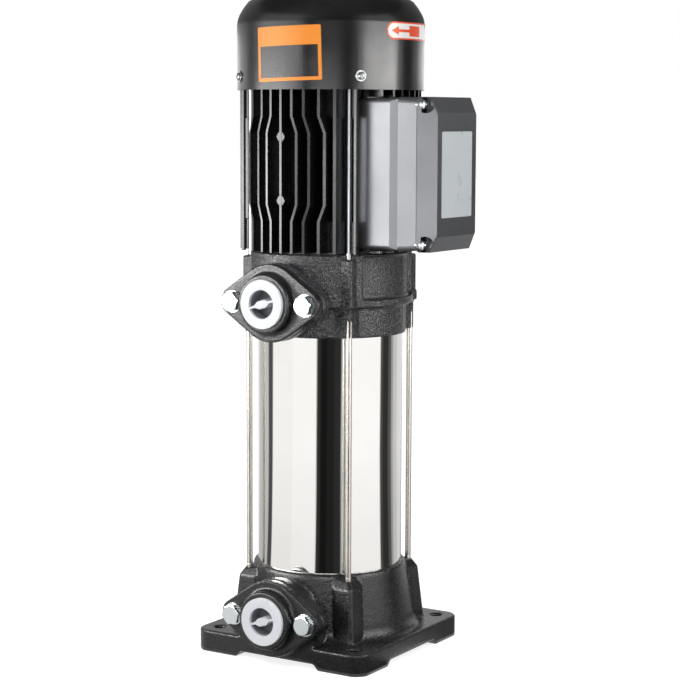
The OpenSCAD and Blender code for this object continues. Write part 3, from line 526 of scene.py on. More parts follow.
DULL_BOLT = MetalFinish("dull_bolt_steel", (0.3, 0.31, 0.33), 0.3, relief=0.3, shade=(0.2, 0.21, 0.23))
COVER_SCREW = MetalFinish("cover_screw_steel", (0.42, 0.43, 0.44), 0.26, relief=0.3, shade=(0.3, 0.31, 0.32))
PLATE_ORANGE = MouldedFinish("plate_orange", (0.84, 0.25, 0.006), 0.34, pale=(0.9, 0.3, 0.02))
PLATE_BLACK = MouldedFinish("plate_black", (0.012, 0.01, 0.011), 0.22, pale=(0.03, 0.03, 0.03))
# Painted shade: the grey of the caps' recesses, for their darkness and the dark bore behind the thin plastic
CAP_PAINTED_SHADE = MouldedFinish("cap_recess_painted_shade", (0.2, 0.21, 0.23), 0.5, pale=(0.32, 0.33, 0.36))
STICKER_WHITE = MouldedFinish("sticker_white", (0.9, 0.88, 0.86), 0.3, pale=(0.95, 0.95, 0.95))
STICKER_RED = MouldedFinish("sticker_red", (0.85, 0.07, 0.01), 0.3, pale=(0.9, 0.12, 0.02))
PLATE_SILVER = MouldedFinish("plate_silver", (0.62, 0.66, 0.68), 0.3, pale=(0.72, 0.75, 0.77))


def new_piece(name: str, bm: Mesh, slot: Slot, finish: Finish | None = None,
              body: Body = Body.PUMP) -> bpy.types.Object:
    """Makes an object from mesh data, gives it its finish and lets it ride on a body.

    Args:
        name: the piece's name.
        bm: its mesh, which is freed.
        slot: the record's material slot, whose finish it takes where no finish is given.
        finish: its finish, where that isn't the slot's own.
        body: the body that it moves with.

    Returns:
        The new object.
    """
    mesh = bpy.data.meshes.new(name)
    bmesh.ops.recalc_face_normals(bm, faces=bm.faces)
    bm.to_mesh(mesh)
    bm.free()
    mesh.materials.append((finish or FINISHES[slot]).material())
    made = bpy.data.objects.new(name, mesh)
    bpy.context.scene.collection.objects.link(made)
    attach(made, body.value)
    return made


def smooth(piece: bpy.types.Object, limit: float = 35.0) -> None:
    """Shades a new piece smooth, apart from edges sharper than limit degrees."""
    piece.data.polygons.foreach_set("use_smooth", [True] * len(piece.data.polygons))
    piece.data.set_sharp_from_angle(angle=math.radians(limit))


def arc(centre: Point2, radius: float, start: float, end: float, steps: int = 6) -> list[Point2]:
    """Returns points on a circular arc, with angles in degrees."""
    turn = [math.radians(start + (end - start) * i / steps) for i in range(steps + 1)]
    return [(centre[0] + radius * math.cos(t), centre[1] + radius * math.sin(t)) for t in turn]


def rounded_box(width: float, height: float, radius: float, steps: int = 6) -> list[Point2]:
    """Draws a rectangle with round corners, centred on the origin.

    Args:
        width: its width.
        height: its height.
        radius: the radius of its corners.
        steps: the number of edges in each corner.

    Returns:
        Its points, anticlockwise.
    """
    x, y = width / 2 - radius, height / 2 - radius
    corners = [((x, y), 0), ((-x, y), 90), ((-x, -y), 180), ((x, -y), 270)]
    return [p for centre, start in corners for p in arc(centre, radius, start, start + 90, steps)]


def mesh_of(node: str) -> Mesh:
    """Reads a CAD node's mesh and joins its seams.

    Args:
        node: the node's name.

    Returns:
        The mesh, which the caller frees.
    """
    bm = bmesh.new()
    bm.from_mesh(frame["nodes"][node].data)
    bmesh.ops.remove_doubles(bm, verts=bm.verts, dist=SEAM)
    return bm


@dataclass(frozen=True)
class Solid:
    """Where one solid of a CAD node is: the mean of its corner points, and its box."""

    mean: Vector
    low: Vector
    high: Vector

    def middle(self) -> Vector:
        """Returns the middle of its box."""
        return (self.low + self.high) / 2


def solids_of(node: str) -> list[Solid]:
    """Splits a CAD node into its separate solids.

    Args:
        node: the node's name.

    Returns:
        The solids, in order of height and then round the shaft.
    """
    bm = mesh_of(node)
    left, found = set(bm.verts), []
    while left:
        queue, points = [left.pop()], []
        while queue:
            vert = queue.pop()
            points.append(vert.co.copy())
            near = {e.other_vert(vert) for e in vert.link_edges} & left
            queue += near
            left -= near
        low, high = (Vector([pick(p[axis] for p in points) for axis in range(3)]) for pick in (min, max))
        found.append(Solid(sum(points, Vector()) / len(points), low, high))
    bm.free()
    return sorted(found, key=lambda s: (round(s.mean.z, 3), math.atan2(s.mean.y, s.mean.x)))


def add_block(bm: Mesh, low: Point3, high: Point3) -> None:
    """Adds a box to a mesh.

    Args:
        bm: the mesh that takes it.
        low: one of its corners, in millimetres.
        high: the corner across from it.
    """
    middle = Matrix.Translation([(a + b) / 2 * MM for a, b in zip(low, high)])
    size = Matrix.Diagonal([abs(b - a) * MM for a, b in zip(low, high)] + [1.0])
    bmesh.ops.create_cube(bm, size=1.0, matrix=middle @ size)


def break_edges(piece: bpy.types.Object, width: float = 0.35 * MM) -> None:
    """Gives a machined, moulded or pressed part small bevels on its sharp edges.

    Args:
        piece: the part's object, whose own mesh stays as it is.
        width: the width of the bevels.
    """
    weld = piece.modifiers.new("join_seams", "WELD")
    weld.merge_threshold = 2 * SEAM
    bevel = piece.modifiers.new("edge_break", "BEVEL")
    bevel.width = width
    bevel.segments = 2
    bevel.limit_method = "ANGLE"
    bevel.angle_limit = math.radians(34)
    bevel.use_clamp_overlap = True
    even = piece.modifiers.new("even_shading", "WEIGHTED_NORMAL")
    even.keep_sharp = True
    even.weight = 60


def soften(piece: bpy.types.Object, voxel: float = 1.1 * MM, rounds: int = 4) -> None:
    """Rounds the inner and outer corners of a casting.

    Args:
        piece: the casting's object, whose own mesh stays as it is.
        voxel: the size of the cells that its form is rebuilt from.
        rounds: how often its surface is evened out.
    """
    remesh = piece.modifiers.new("cast_form", "REMESH")
    remesh.mode = "VOXEL"
    remesh.voxel_size = voxel
    remesh.use_smooth_shade = True
    flow = piece.modifiers.new("cast_rounding", "SMOOTH")
    flow.factor = 0.5
    flow.iterations = rounds


@dataclass(frozen=True)
class Lamp:
    """A soft square lamp: its place round the pump, its side in metres and its power in watts."""

    name: str
    bearing: float
    distance: float
    height: float
    side: float
    power: float


@dataclass
class Studio:
    """The camera at the photograph's view, the pale floor and soft light."""

    camera_spot: Vector = field(default_factory=lambda: Vector((0.92859, -1.46917, 0.48034)))
    turn: float = 32.0019
    pitch: float = 6.5943
    roll: float = 0.1884
    lens: float = 102.26
    sensor: float = 36.0
    ambient: float = 0.55
    floor_half: float = 12.0
    floor_drop: float = 0.05 * MM
    floor_tone: RGB = (0.5, 0.5, 0.5)
    floor_glow: float = 0.82
    lamp_aim: Point3 = (0.0, 0.0, 0.3)
    lamp_set: tuple[Lamp, ...] = (
        Lamp("key_lamp", -38.0, 1.5, 1.5, 0.9, 16.0),
        Lamp("fill_lamp", 60.0, 1.7, 1.1, 1.1, 9.0),
        Lamp("top_lamp", 15.0, 0.35, 1.9, 0.8, 8.0),
    )
    card_distance: float = 1.1
    card_near: float = 0.36
    card_ground: float = 3.0 * MM
    card_tint: RGB = (1.0, 0.995, 0.98)
    card_step: float = 5.0
    ceiling: float = 1.3
    ceiling_glow: float = 0.08
    border: float = 3.0

    def build(self) -> None:
        """Makes the whole studio."""
        self.camera()
        self.world()
        self.floor()
        self.lamps()
        self.cards()

    def camera(self) -> None:
        """Makes the camera."""
        data = bpy.data.cameras.new("photo_view")
        data.lens = self.lens
        data.sensor_width = self.sensor
        made = bpy.data.objects.new("photo_view", data)
        turned = Matrix.Rotation(math.radians(self.turn), 4, "Z")
        tilted = Matrix.Rotation(math.radians(90 - self.pitch), 4, "X")
        rolled = Matrix.Rotation(math.radians(self.roll), 4, "Z")
        made.matrix_world = Matrix.Translation(self.camera_spot) @ turned @ tilted @ rolled
        bpy.context.scene.collection.objects.link(made)
        bpy.context.scene.camera = made
        bpy.context.scene.view_settings.view_transform = "Standard"

    def seen_plainly(self, sheet: NodeSheet) -> Socket:
        """Adds the test for rays that show the background.

        Args:
            sheet: the node sheet of the world or of a material.

        Returns:
            A mask that is 1 for camera, mirror and clear-glass rays.
        """
        path = sheet.add("ShaderNodeLightPath").outputs
        direct = sheet.math("MAXIMUM", path["Is Camera Ray"], path["Is Glossy Ray"])
        return sheet.math("MAXIMUM", direct, path["Is Transmission Ray"])

    def world(self) -> None:
        """Makes a white surround that lights the pump softly."""
        world = bpy.data.worlds.new("white_surround")
        world.use_nodes = True
        bpy.context.scene.world = world
        sheet = NodeSheet(world.node_tree)
        strength = sheet.span(self.seen_plainly(sheet), 0.0, 1.0, self.ambient, 1.0)
        light = sheet.add("ShaderNodeBackground", {"Color": rgba((1.0, 1.0, 1.0)), "Strength": strength})
        sheet.add("ShaderNodeOutputWorld", {"Surface": light.outputs[0]})

    def floor(self) -> None:
        """Makes the pale floor, which keeps a faint shadow of the pump."""
        signs = ((-1, -1), (1, -1), (1, 1), (-1, 1))
        mesh = bpy.data.meshes.new("floor")
        corners = [(sx * self.floor_half, sy * self.floor_half, -self.floor_drop) for sx, sy in signs]
        mesh.from_pydata(corners, [], [(0, 1, 2, 3)])
        made = bpy.data.objects.new("floor", mesh)
        bpy.context.scene.collection.objects.link(made)
        material = bpy.data.materials.new("pale_floor")
        material.use_nodes = True
        sheet = NodeSheet(material.node_tree)
        dull = sheet.add("ShaderNodeBsdfDiffuse", {"Color": rgba(self.floor_tone)})
        strength = sheet.math("MULTIPLY", self.seen_plainly(sheet), self.floor_glow)
        glow = sheet.add("ShaderNodeEmission", {"Color": rgba((1.0, 1.0, 1.0)), "Strength": strength})
        both = sheet.add("ShaderNodeAddShader", {0: dull.outputs[0], 1: glow.outputs[0]})
        sheet.add("ShaderNodeOutputMaterial", {"Surface": both.outputs[0]})
        mesh.materials.append(material)

    def spot_at(self, bearing: float, distance: float, height: float) -> Vector:
        """Returns a point round the pump, with bearing in degrees to the right of the camera."""
        angle = math.atan2(self.camera_spot.x, -self.camera_spot.y) + math.radians(bearing)
        return Vector((distance * math.sin(angle), -distance * math.cos(angle), height))

    def lamps(self) -> None:
        """Makes the soft lamps over and beside the pump."""
        for lamp in self.lamp_set:
            data = bpy.data.lights.new(lamp.name, "AREA")
            data.shape = "SQUARE"
            data.size = lamp.side
            data.energy = lamp.power
            made = bpy.data.objects.new(lamp.name, data)
            made.location = self.spot_at(lamp.bearing, lamp.distance, lamp.height)
            made.rotation_euler = (Vector(self.lamp_aim) - made.location).to_track_quat("-Z", "Y").to_euler()
            bpy.context.scene.collection.objects.link(made)

    def cards(self) -> None:
        """Makes the ring of panels and flags that reflections show, in tiers one above the other."""
        glow = self.glow_material()
        for tier, (profile, panels) in self.tiers().items():
            self.ring(f"{tier}_cards", profile, panels, glow)
        lid = [(1.0 * MM, self.ceiling), (self.card_distance, self.ceiling)]
        self.ring("ceiling_card", lid, [(-180.0, 180.0, self.ceiling_glow)], glow)

    def tiers(self) -> dict[str, tuple[list[Point2], list[Panel]]]:
        """Lists the tiers, from the floor up.

        Returns:
            Each tier's cross-section, and its panels as bearing to bearing and strength.
        """
        far, near, ground = self.card_distance, self.card_near, self.card_ground
        return {
            "floor": ([(0.1, ground), (near, ground)], [
                (-180, -100, 0.4), (-100, -34, 0.9), (-34, 40, 0.12), (40, 90, 0.5), (90, 180, 0.3),
            ]),
            "sleeve": ([(near, ground), (far, ground), (far, 0.19)], [
                (-180, -150, 0.9), (-150, -112, 0.62), (-112, -101, 0.09), (-101, -60, 1.1), (-60, -21, 1.16),
                (-21, -15, 0.035), (-15, -5, 0.01), (-5, 6, 0.018), (6, 17, 0.03), (17, 22, 0.8),
                (22, 84, 1.18), (84, 90, 0.08), (90, 103, 0.035), (103, 111, 0.11), (111, 117, 0.4),
                (117, 130, 0.66), (130, 150, 0.82), (150, 180, 0.95),
            ]),
            "head": ([(far, 0.19), (far, 0.29)], [
                (-180, -95, 0.4), (-95, -38, 3.2), (-38, 24, 0.12), (24, 88, 4.5), (88, 150, 0.08),
                (150, 180, 0.8),
            ]),
            "box": ([(far, 0.29), (far, 0.47)], [
                (-180, -100, 0.5), (-100, -57, 20.5), (-57, -44, 11.5), (-44, -22, 1.0), (-22, 12, 9.6),
                (12, 30, 0.2), (30, 85, 1.6), (85, 150, 0.06), (150, 180, 0.5),
            ]),
            "rim": ([(far, 0.47), (far, 0.51)], [
                (-180, -100, 0.8), (-100, -34, 4.2), (-34, 28, 0.03), (28, 86, 5.0), (86, 150, 0.2),
                (150, 180, 0.8),
            ]),
            "cover": ([(far, 0.51), (far, 0.6)], [
                (-180, -118, 1.6), (-118, -92, 0.5), (-92, -34, 4.6), (-34, 30, 0.02), (30, 40, 4.0),
                (40, 84, 15.0), (84, 94, 2.0), (94, 114, 0.1), (114, 130, 0.8), (130, 180, 2.2),
            ]),
            "upper": ([(far, 0.6), (far, self.ceiling)], [
                (-180, -95, 0.3), (-95, -34, 1.0), (-34, 36, 0.02), (36, 84, 1.0), (84, 180, 0.2),
            ]),
        }

    def glow_material(self) -> bpy.types.Material:
        """Makes the material of the panels, whose glow is stored along the ring.

        Returns:
            The material.
        """
        material = bpy.data.materials.new("studio_panels")
        material.use_nodes = True
        sheet = NodeSheet(material.node_tree)
        away = sheet.add("ShaderNodeVectorMath", {0: sheet.place()}, operation="LENGTH").outputs["Value"]
        stored = sheet.add("ShaderNodeAttribute", attribute_name="glow").outputs["Fac"]
        strength = sheet.math("MULTIPLY", stored, sheet.span(away, 0.4, self.card_distance, 0.88, 1.0))
        glow = sheet.add("ShaderNodeEmission", {"Color": rgba(self.card_tint), "Strength": strength})
        sheet.add("ShaderNodeOutputMaterial", {"Surface": glow.outputs[0]})
        return material

    def ring(self, name: str, profile: list[Point2], panels: list[Panel], glow: bpy.types.Material) -> None:
        """Makes one tier of panels round the pump, with soft borders, for reflections alone.

        Args:
            name: the tier's name.
            profile: its cross-section as (distance from the shaft, height) points.
            panels: the bearing of each panel's left and right edge in degrees, and its strength.
            glow: the panels' material.
        """
        columns = []
        for start, end, strength in panels:
            low, high = start + self.border / 2, end - self.border / 2
            steps = max(1, round((high - low) / self.card_step))
            columns += [(low + (high - low) * i / steps, strength) for i in range(steps + 1)]
        row = len(profile)
        verts = [self.spot_at(bearing, *point) for bearing, _ in columns for point in profile]
        faces = []
        for i in range(len(columns)):
            near, far = i * row, (i + 1) % len(columns) * row
            faces += [(near + j, far + j, far + j + 1, near + j + 1) for j in range(row - 1)]
        mesh = bpy.data.meshes.new(name)
        mesh.from_pydata(verts, [], faces)
        stored = mesh.attributes.new("glow", "FLOAT", "POINT")
        stored.data.foreach_set("value", [strength for _, strength in columns for _ in profile])
        mesh.materials.append(glow)
        made = bpy.data.objects.new(name, mesh)
        bpy.context.scene.collection.objects.link(made)
        for ray in ("camera", "diffuse", "transmission", "volume_scatter", "shadow"):
            setattr(made, "visible_" + ray, False)


@dataclass
class Solids:
    """Dresses the CAD nodes themselves: finishes, softened castings and broken edges."""

    castings: tuple[str, ...] = ("base_casting", "pump_head", "suction_flange", "discharge_flange")
    hidden: tuple[str, ...] = ("stator_core", "stator_windings", "lower_bearing_balls", "upper_bearing_balls")
    dull: tuple[str, ...] = ("motor_bolts",)

    def dress(self) -> None:
        """Gives every node the finish of its slot, or the dull bolt finish where it is listed in dull, and
        edges of the right kind.
        """
        finishes = {slot.value: finish for slot, finish in FINISHES.items()}
        for part in frame["record"]["subparts"]:
            name, slot = part["node"], part["material_slot"]
            node = frame["nodes"][name]
            finish = DULL_BOLT if name in self.dull else finishes[slot]
            node.data.materials.clear()
            node.data.materials.append(finish.material())
            if name in self.castings:
                soften(node)
            elif name not in self.hidden:
                break_edges(node)
            LOG.info("node %s: %s", name, finish.name)


@dataclass
class CrossScrew:
    """A pan-head screw with a cross recess."""

    head_r: float = 3.5 * MM
    head_h: float = 2.4 * MM
    slot_w: float = 0.95 * MM
    slot_len: float = 3.9 * MM
    slot_deep: float = 1.4 * MM
    shank_r: float = 1.7 * MM
    shank_len: float = 9.0 * MM
    washer_r: float = 0.0
    washer_h: float = 0.0
    washer_edge: float = 0.2 * MM
    dome_share: float = 0.65
    sides: int = 36

    def mesh(self) -> Mesh:
        """Makes the screw along +Z, with its seat at z = 0.

        Returns:
            Its mesh.
        """
        dome = self.head_h - self.washer_h
        profile = [(0.0, self.head_h)]
        for turn in (math.radians(t) for t in range(15, 91, 15)):
            rise = dome * (1.0 - self.dome_share + self.dome_share * math.cos(turn))
            profile.append((self.head_r * math.sin(turn), self.washer_h + rise))
        if self.washer_h:
            edge = self.washer_edge
            profile += [(self.head_r, self.washer_h), (self.washer_r - edge, self.washer_h),
                        (self.washer_r, self.washer_h - edge), (self.washer_r, 0.0)]
        else:
            profile.append((self.head_r, 0.0))
        profile += [(self.shank_r, 0.0), (self.shank_r, -self.shank_len), (0.0, -self.shank_len)]
        cutter = bmesh.new()
        for turn in (0.0, 90.0):
            size = Matrix.Diagonal((self.slot_len, self.slot_w, self.slot_deep * 2, 1.0))
            place = Matrix.Translation((0, 0, self.head_h)) @ Matrix.Rotation(math.radians(turn), 4, "Z")
            bmesh.ops.create_cube(cutter, size=1.0, matrix=place @ size)
        return cut_out(turned(profile, self.sides), cutter)


def turned(profile: list[Point2], steps: int) -> Mesh:
    """Makes a solid of revolution about Z.

    Args:
        profile: its (radius, height) points, which start and end on the axis.
        steps: the number of faces round it.

    Returns:
        Its mesh.
    """
    bm = bmesh.new()
    angles = [2 * math.pi * i / steps for i in range(steps)]
    rings = []
    for radius, height in profile:
        around = angles if radius > 1e-7 else [0.0]
        rings.append([bm.verts.new((radius * math.cos(a), radius * math.sin(a), height)) for a in around])
    for upper, lower in zip(rings, rings[1:]):
        for i in range(steps):
            ring = [upper[i % len(upper)], upper[(i + 1) % len(upper)],
                    lower[(i + 1) % len(lower)], lower[i % len(lower)]]
            corners = list(dict.fromkeys(ring))
            if len(corners) > 2:
                bm.faces.new(corners)
    bmesh.ops.recalc_face_normals(bm, faces=bm.faces)
    return bm


def cut_out(solid: Mesh, cutter: Mesh) -> Mesh:
    """Cuts one mesh out of another.

    Args:
        solid: the mesh to cut, which is freed.
        cutter: what comes out of it, which is freed.

    Returns:
        The cut mesh.
    """
    things = []
    for name, bm in (("cut_solid", solid), ("cut_tool", cutter)):
        mesh = bpy.data.meshes.new(name)
        bm.to_mesh(mesh)
        bm.free()
        things.append(bpy.data.objects.new(name, mesh))
        bpy.context.scene.collection.objects.link(things[-1])
    knife = things[0].modifiers.new("knife", "BOOLEAN")
    knife.object = things[1]
    knife.solver = "EXACT"
    knife.operation = "DIFFERENCE"
    knife.use_self = True
    done = things[0].evaluated_get(bpy.context.evaluated_depsgraph_get())
    result = bmesh.new()
    result.from_mesh(done.to_mesh())
    done.to_mesh_clear()
    for thing in things:
        bpy.data.meshes.remove(thing.data)
    return result


def copies(bm: Mesh, places: list[Matrix]) -> Mesh:
    """Repeats a mesh.

    Args:
        bm: the mesh to repeat, which is freed.
        places: where each copy goes.

    Returns:
        One mesh that holds all copies.
    """
    mesh = bpy.data.meshes.new("pattern")
    bm.to_mesh(mesh)
    bm.free()
    result = bmesh.new()
    for place in places:
        start = len(result.verts)
        result.from_mesh(mesh)
        result.verts.ensure_lookup_table()
        bmesh.ops.transform(result, matrix=place, verts=result.verts[start:])
    bpy.data.meshes.remove(mesh)
    return result


def facing(spot: Vector, direction: Vector, spin: float = 0.0) -> Matrix:
    """Returns the matrix that takes +Z to direction and the origin to spot, after a spin in degrees."""
    aimed = direction.to_track_quat("Z", "Y").to_matrix().to_4x4()
    return Matrix.Translation(spot) @ aimed @ Matrix.Rotation(math.radians(spin), 4, "Z")


@dataclass
class Sheet:
    """A thin sticker or plate, flat or bent round the shaft axis."""

    thickness: float = 0.15 * MM
    column: float = 3.0 * MM

    def flat(self, outline: list[Point2], lift: float = 0.0) -> Mesh:
        """Makes a flat sheet in the XY plane.

        Args:
            outline: its outline, anticlockwise.
            lift: how far it stands above the plane.

        Returns:
            The sheet.
        """
        bm = bmesh.new()
        low, high = ([bm.verts.new((x, y, z)) for x, y in outline] for z in (lift, lift + self.thickness))
        bm.faces.new(list(reversed(low)))
        bm.faces.new(high)
        for i in range(len(low)):
            j = (i + 1) % len(low)
            bm.faces.new((low[i], low[j], high[j], high[i]))
        return bm

    def wrapped(self, outline: list[Point2], radius: float, turn: float, height: float, tilt: float = 0.0,
                lift: float = 0.0) -> Mesh:
        """Bends a sheet round the shaft axis.

        Args:
            outline: its outline, x to the right and y up as seen from outside.
            radius: the radius that it lies on.
            turn: where its middle is, in degrees from -Y towards +X.
            height: the height of its middle.
            tilt: how far it is turned anticlockwise, in degrees.
            lift: how far it stands above the radius.

        Returns:
            The bent sheet.
        """
        bm = self.flat(outline, lift)
        bmesh.ops.rotate(bm, verts=bm.verts, matrix=Matrix.Rotation(math.radians(tilt), 3, "Z"))
        columns = int(max(abs(v.co.x) for v in bm.verts) / self.column)
        for i in range(-columns, columns + 1):
            everything = bm.verts[:] + bm.edges[:] + bm.faces[:]
            bmesh.ops.bisect_plane(bm, geom=everything, plane_co=(i * self.column, 0, 0), plane_no=(1, 0, 0))
        for vert in bm.verts:
            angle = math.radians(turn) + vert.co.x / radius
            out = radius + vert.co.z
            vert.co = Vector((out * math.sin(angle), -out * math.cos(angle), height + vert.co.y))
        return bm


@dataclass
class FanCoverDress:
    """The fan cover's drawn form, and what is on it: screws, a bare plate and a plain arrow sticker."""

    plate_w: float = 62.5 * MM
    plate_h: float = 46.5 * MM
    plate_turn: float = 5.3
    plate_z: float = 533.9 * MM
    plate_tilt: float = 1.7
    plate_corner: float = 1.2 * MM
    field_corner: float = 0.4 * MM
    field_skin: float = 0.03 * MM
    band_h: float = 16.5 * MM
    border: float = 3.0 * MM
    sticker_w: float = 70.0 * MM
    sticker_h: float = 15.0 * MM
    sticker_turn: float = 91.3
    sticker_z: float = 554.0 * MM
    sticker_rim: float = 1.3 * MM
    sticker_skin: float = 0.06 * MM
    screw_turn: float = 20.0
    screw_step: float = 31.0
    swell: float = 0.5 * MM
    grille_r: float = 66.0 * MM
    # The shoulder's rows, as height, rise and growth outwards in millimetres
    drawn: tuple[Point3, ...] = (
        (504.5, -1.0, 0.5), (563.0, -2.0, 0.5), (569.0, -3.0, 0.8), (573.4, -3.2, 1.1),
        (576.6, -0.8, -0.3), (580.8, 0.4, -0.7), (582.0, 3.0, -4.0),
    )
    radius: float = field(default_factory=lambda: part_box("fan_cover")[1].x)

    def build(self) -> None:
        """Makes the cover and every piece on it."""
        self.radius += self.swell
        self.shell()
        self.screws()
        self.plate()
        self.arrow_sticker()

    def shell(self) -> None:
        """Makes the cover with the softer shoulder that deep drawing leaves."""
        bm = mesh_of("fan_cover")
        for vert in bm.verts:
            out, height = math.hypot(vert.co.x, vert.co.y), vert.co.z / MM
            rise, growth = self.drawn_at(height)
            if out < self.grille_r and height > self.drawn[-3][0]:
                rise, growth = self.drawn[-1][1], 0.0
            vert.co.z += rise * MM
            if out > self.grille_r:
                vert.co.xy *= 1 + growth * MM / out
        made = new_piece("fan_cover_shell", bm, Slot.PAINTED_SHEET)
        break_edges(made)
        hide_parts("fan_cover")

    def drawn_at(self, height: float) -> Point2:
        """Reads the shoulder's rows.

        Args:
            height: the height of a point, in millimetres.

        Returns:
            How far the point rises and how far it moves outwards, in millimetres.
        """
        rows = self.drawn
        for (low, rise0, growth0), (high, rise1, growth1) in zip(rows, rows[1:]):
            if height <= high:
                part = max(0.0, (height - low) / (high - low))
                return rise0 + (rise1 - rise0) * part, growth0 + (growth1 - growth0) * part
        return rows[-1][1], rows[-1][2]

    def screws(self) -> None:
        """Makes the cross-head screws in the place of the CAD ones."""
        screw = CrossScrew(head_h=3.3 * MM, washer_r=4.9 * MM, washer_h=1.0 * MM)
        places = []
        for i, solid in enumerate(solids_of("fan_cover_screws")):
            out = Vector((solid.mean.x, solid.mean.y, 0)).normalized()
            seat = out * self.radius + Vector((0, 0, solid.mean.z))
            places.append(facing(seat, out, self.screw_turn + self.screw_step * i))
        made = new_piece("cover_screw_heads", copies(screw.mesh(), places), Slot.ZINC, COVER_SCREW)
        smooth(made, 40.0)
        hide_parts("fan_cover_screws")
        LOG.info("fan cover: %d screws", len(places))

    def plate(self) -> None:
        """Makes the bare plate: an orange ground with a black field in its lower part."""
        place = (self.radius, self.plate_turn, self.plate_z, self.plate_tilt)
        sheet = Sheet()
        ground = sheet.wrapped(rounded_box(self.plate_w, self.plate_h, self.plate_corner), *place)
        new_piece("bare_plate_ground", ground, Slot.PAINTED_SHEET, PLATE_ORANGE)
        field_w, field_h = self.plate_w - 2 * self.border, self.plate_h - self.band_h - self.border
        drop = (self.plate_h - field_h) / 2 - self.border
        outline = [(x, y - drop) for x, y in rounded_box(field_w, field_h, self.field_corner)]
        dark = Sheet(thickness=self.field_skin).wrapped(outline, *place, sheet.thickness)
        new_piece("bare_plate_field", dark, Slot.PAINTED_SHEET, PLATE_BLACK)

    def arrow_sticker(self) -> None:
        """Makes a capsule-shaped sticker with a plain arrow that shows the turning direction."""
        layers = [
            ("arrow_sticker_rim", self.capsule(0.0), STICKER_RED),
            ("arrow_sticker_ground", self.capsule(self.sticker_rim), STICKER_WHITE),
            ("arrow_sticker_arrow", self.arrow(), STICKER_RED),
        ]
        lift = 0.0
        for name, outline, finish in layers:
            sheet = Sheet(thickness=self.sticker_skin)
            bent = sheet.wrapped(outline, self.radius, self.sticker_turn, self.sticker_z, lift=lift)
            new_piece(name, bent, Slot.PAINTED_SHEET, finish)
            lift += sheet.thickness

    def capsule(self, inset: float) -> list[Point2]:
        """Returns the sticker's outline, set in from its rim."""
        width, height = self.sticker_w - 2 * inset, self.sticker_h - 2 * inset
        return rounded_box(width, height, height / 2, 8)

    def arrow(self) -> list[Point2]:
        """Draws an arrow that points to the left, with a broad tail.

        Returns:
            Its outline.
        """
        tip, neck, tail, end = (x * self.sticker_w for x in (-0.43, -0.31, -0.1, 0.17))
        head, stem, block = (y * self.sticker_h for y in (0.25, 0.08, 0.3))
        upper = [(tip, 0.0), (neck, -head), (neck, -stem), (tail, -stem), (tail, -block), (end, -block)]
        return upper + [(x, -y) for x, y in reversed(upper[1:])]


@dataclass
class HeadDress:
    """The pump head, with the drum set back above its band below the terminal box and across from it.

    Lengths in this class are millimetres.
    """

    band_top: float = 35.2
    top_rim: float = 1.6
    floor_r: float = 69.6
    beyond: float = 90.0
    half_angle: float = 35.0
    steps: int = 16

    def build(self) -> None:
        """Makes the head in the place of the CAD one."""
        low, high = (corner.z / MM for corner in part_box("pump_head"))
        cutter = bmesh.new()
        for turn in (0.0, 180.0):
            self.sector(cutter, turn, low + self.band_top, high - self.top_rim)
        made = new_piece("head_casting", cut_out(mesh_of("pump_head"), cutter), Slot.CAST_ROUGH)
        soften(made)
        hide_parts("pump_head")
        LOG.info("pump head: %d faces", len(made.data.polygons))

    def sector(self, bm: Mesh, turn: float, low: float, high: float) -> None:
        """Adds a thick arc to a mesh.

        Args:
            bm: the mesh that takes it.
            turn: the direction of its middle, in degrees from +X.
            low: its lower height.
            high: its upper height.
        """
        corners = [(self.floor_r, low), (self.beyond, low), (self.beyond, high), (self.floor_r, high)]
        rows = []
        for i in range(self.steps + 1):
            angle = math.radians(turn - self.half_angle + 2 * self.half_angle * i / self.steps)
            across, along = math.cos(angle), math.sin(angle)
            rows.append([bm.verts.new(Vector((r * across, r * along, z)) * MM) for r, z in corners])
        for first, second in zip(rows, rows[1:]):
            for j in range(4):
                bm.faces.new((first[j], first[(j + 1) % 4], second[(j + 1) % 4], second[j]))
        bm.faces.new(rows[0])
        bm.faces.new(list(reversed(rows[-1])))
        bmesh.ops.recalc_face_normals(bm, faces=bm.faces)


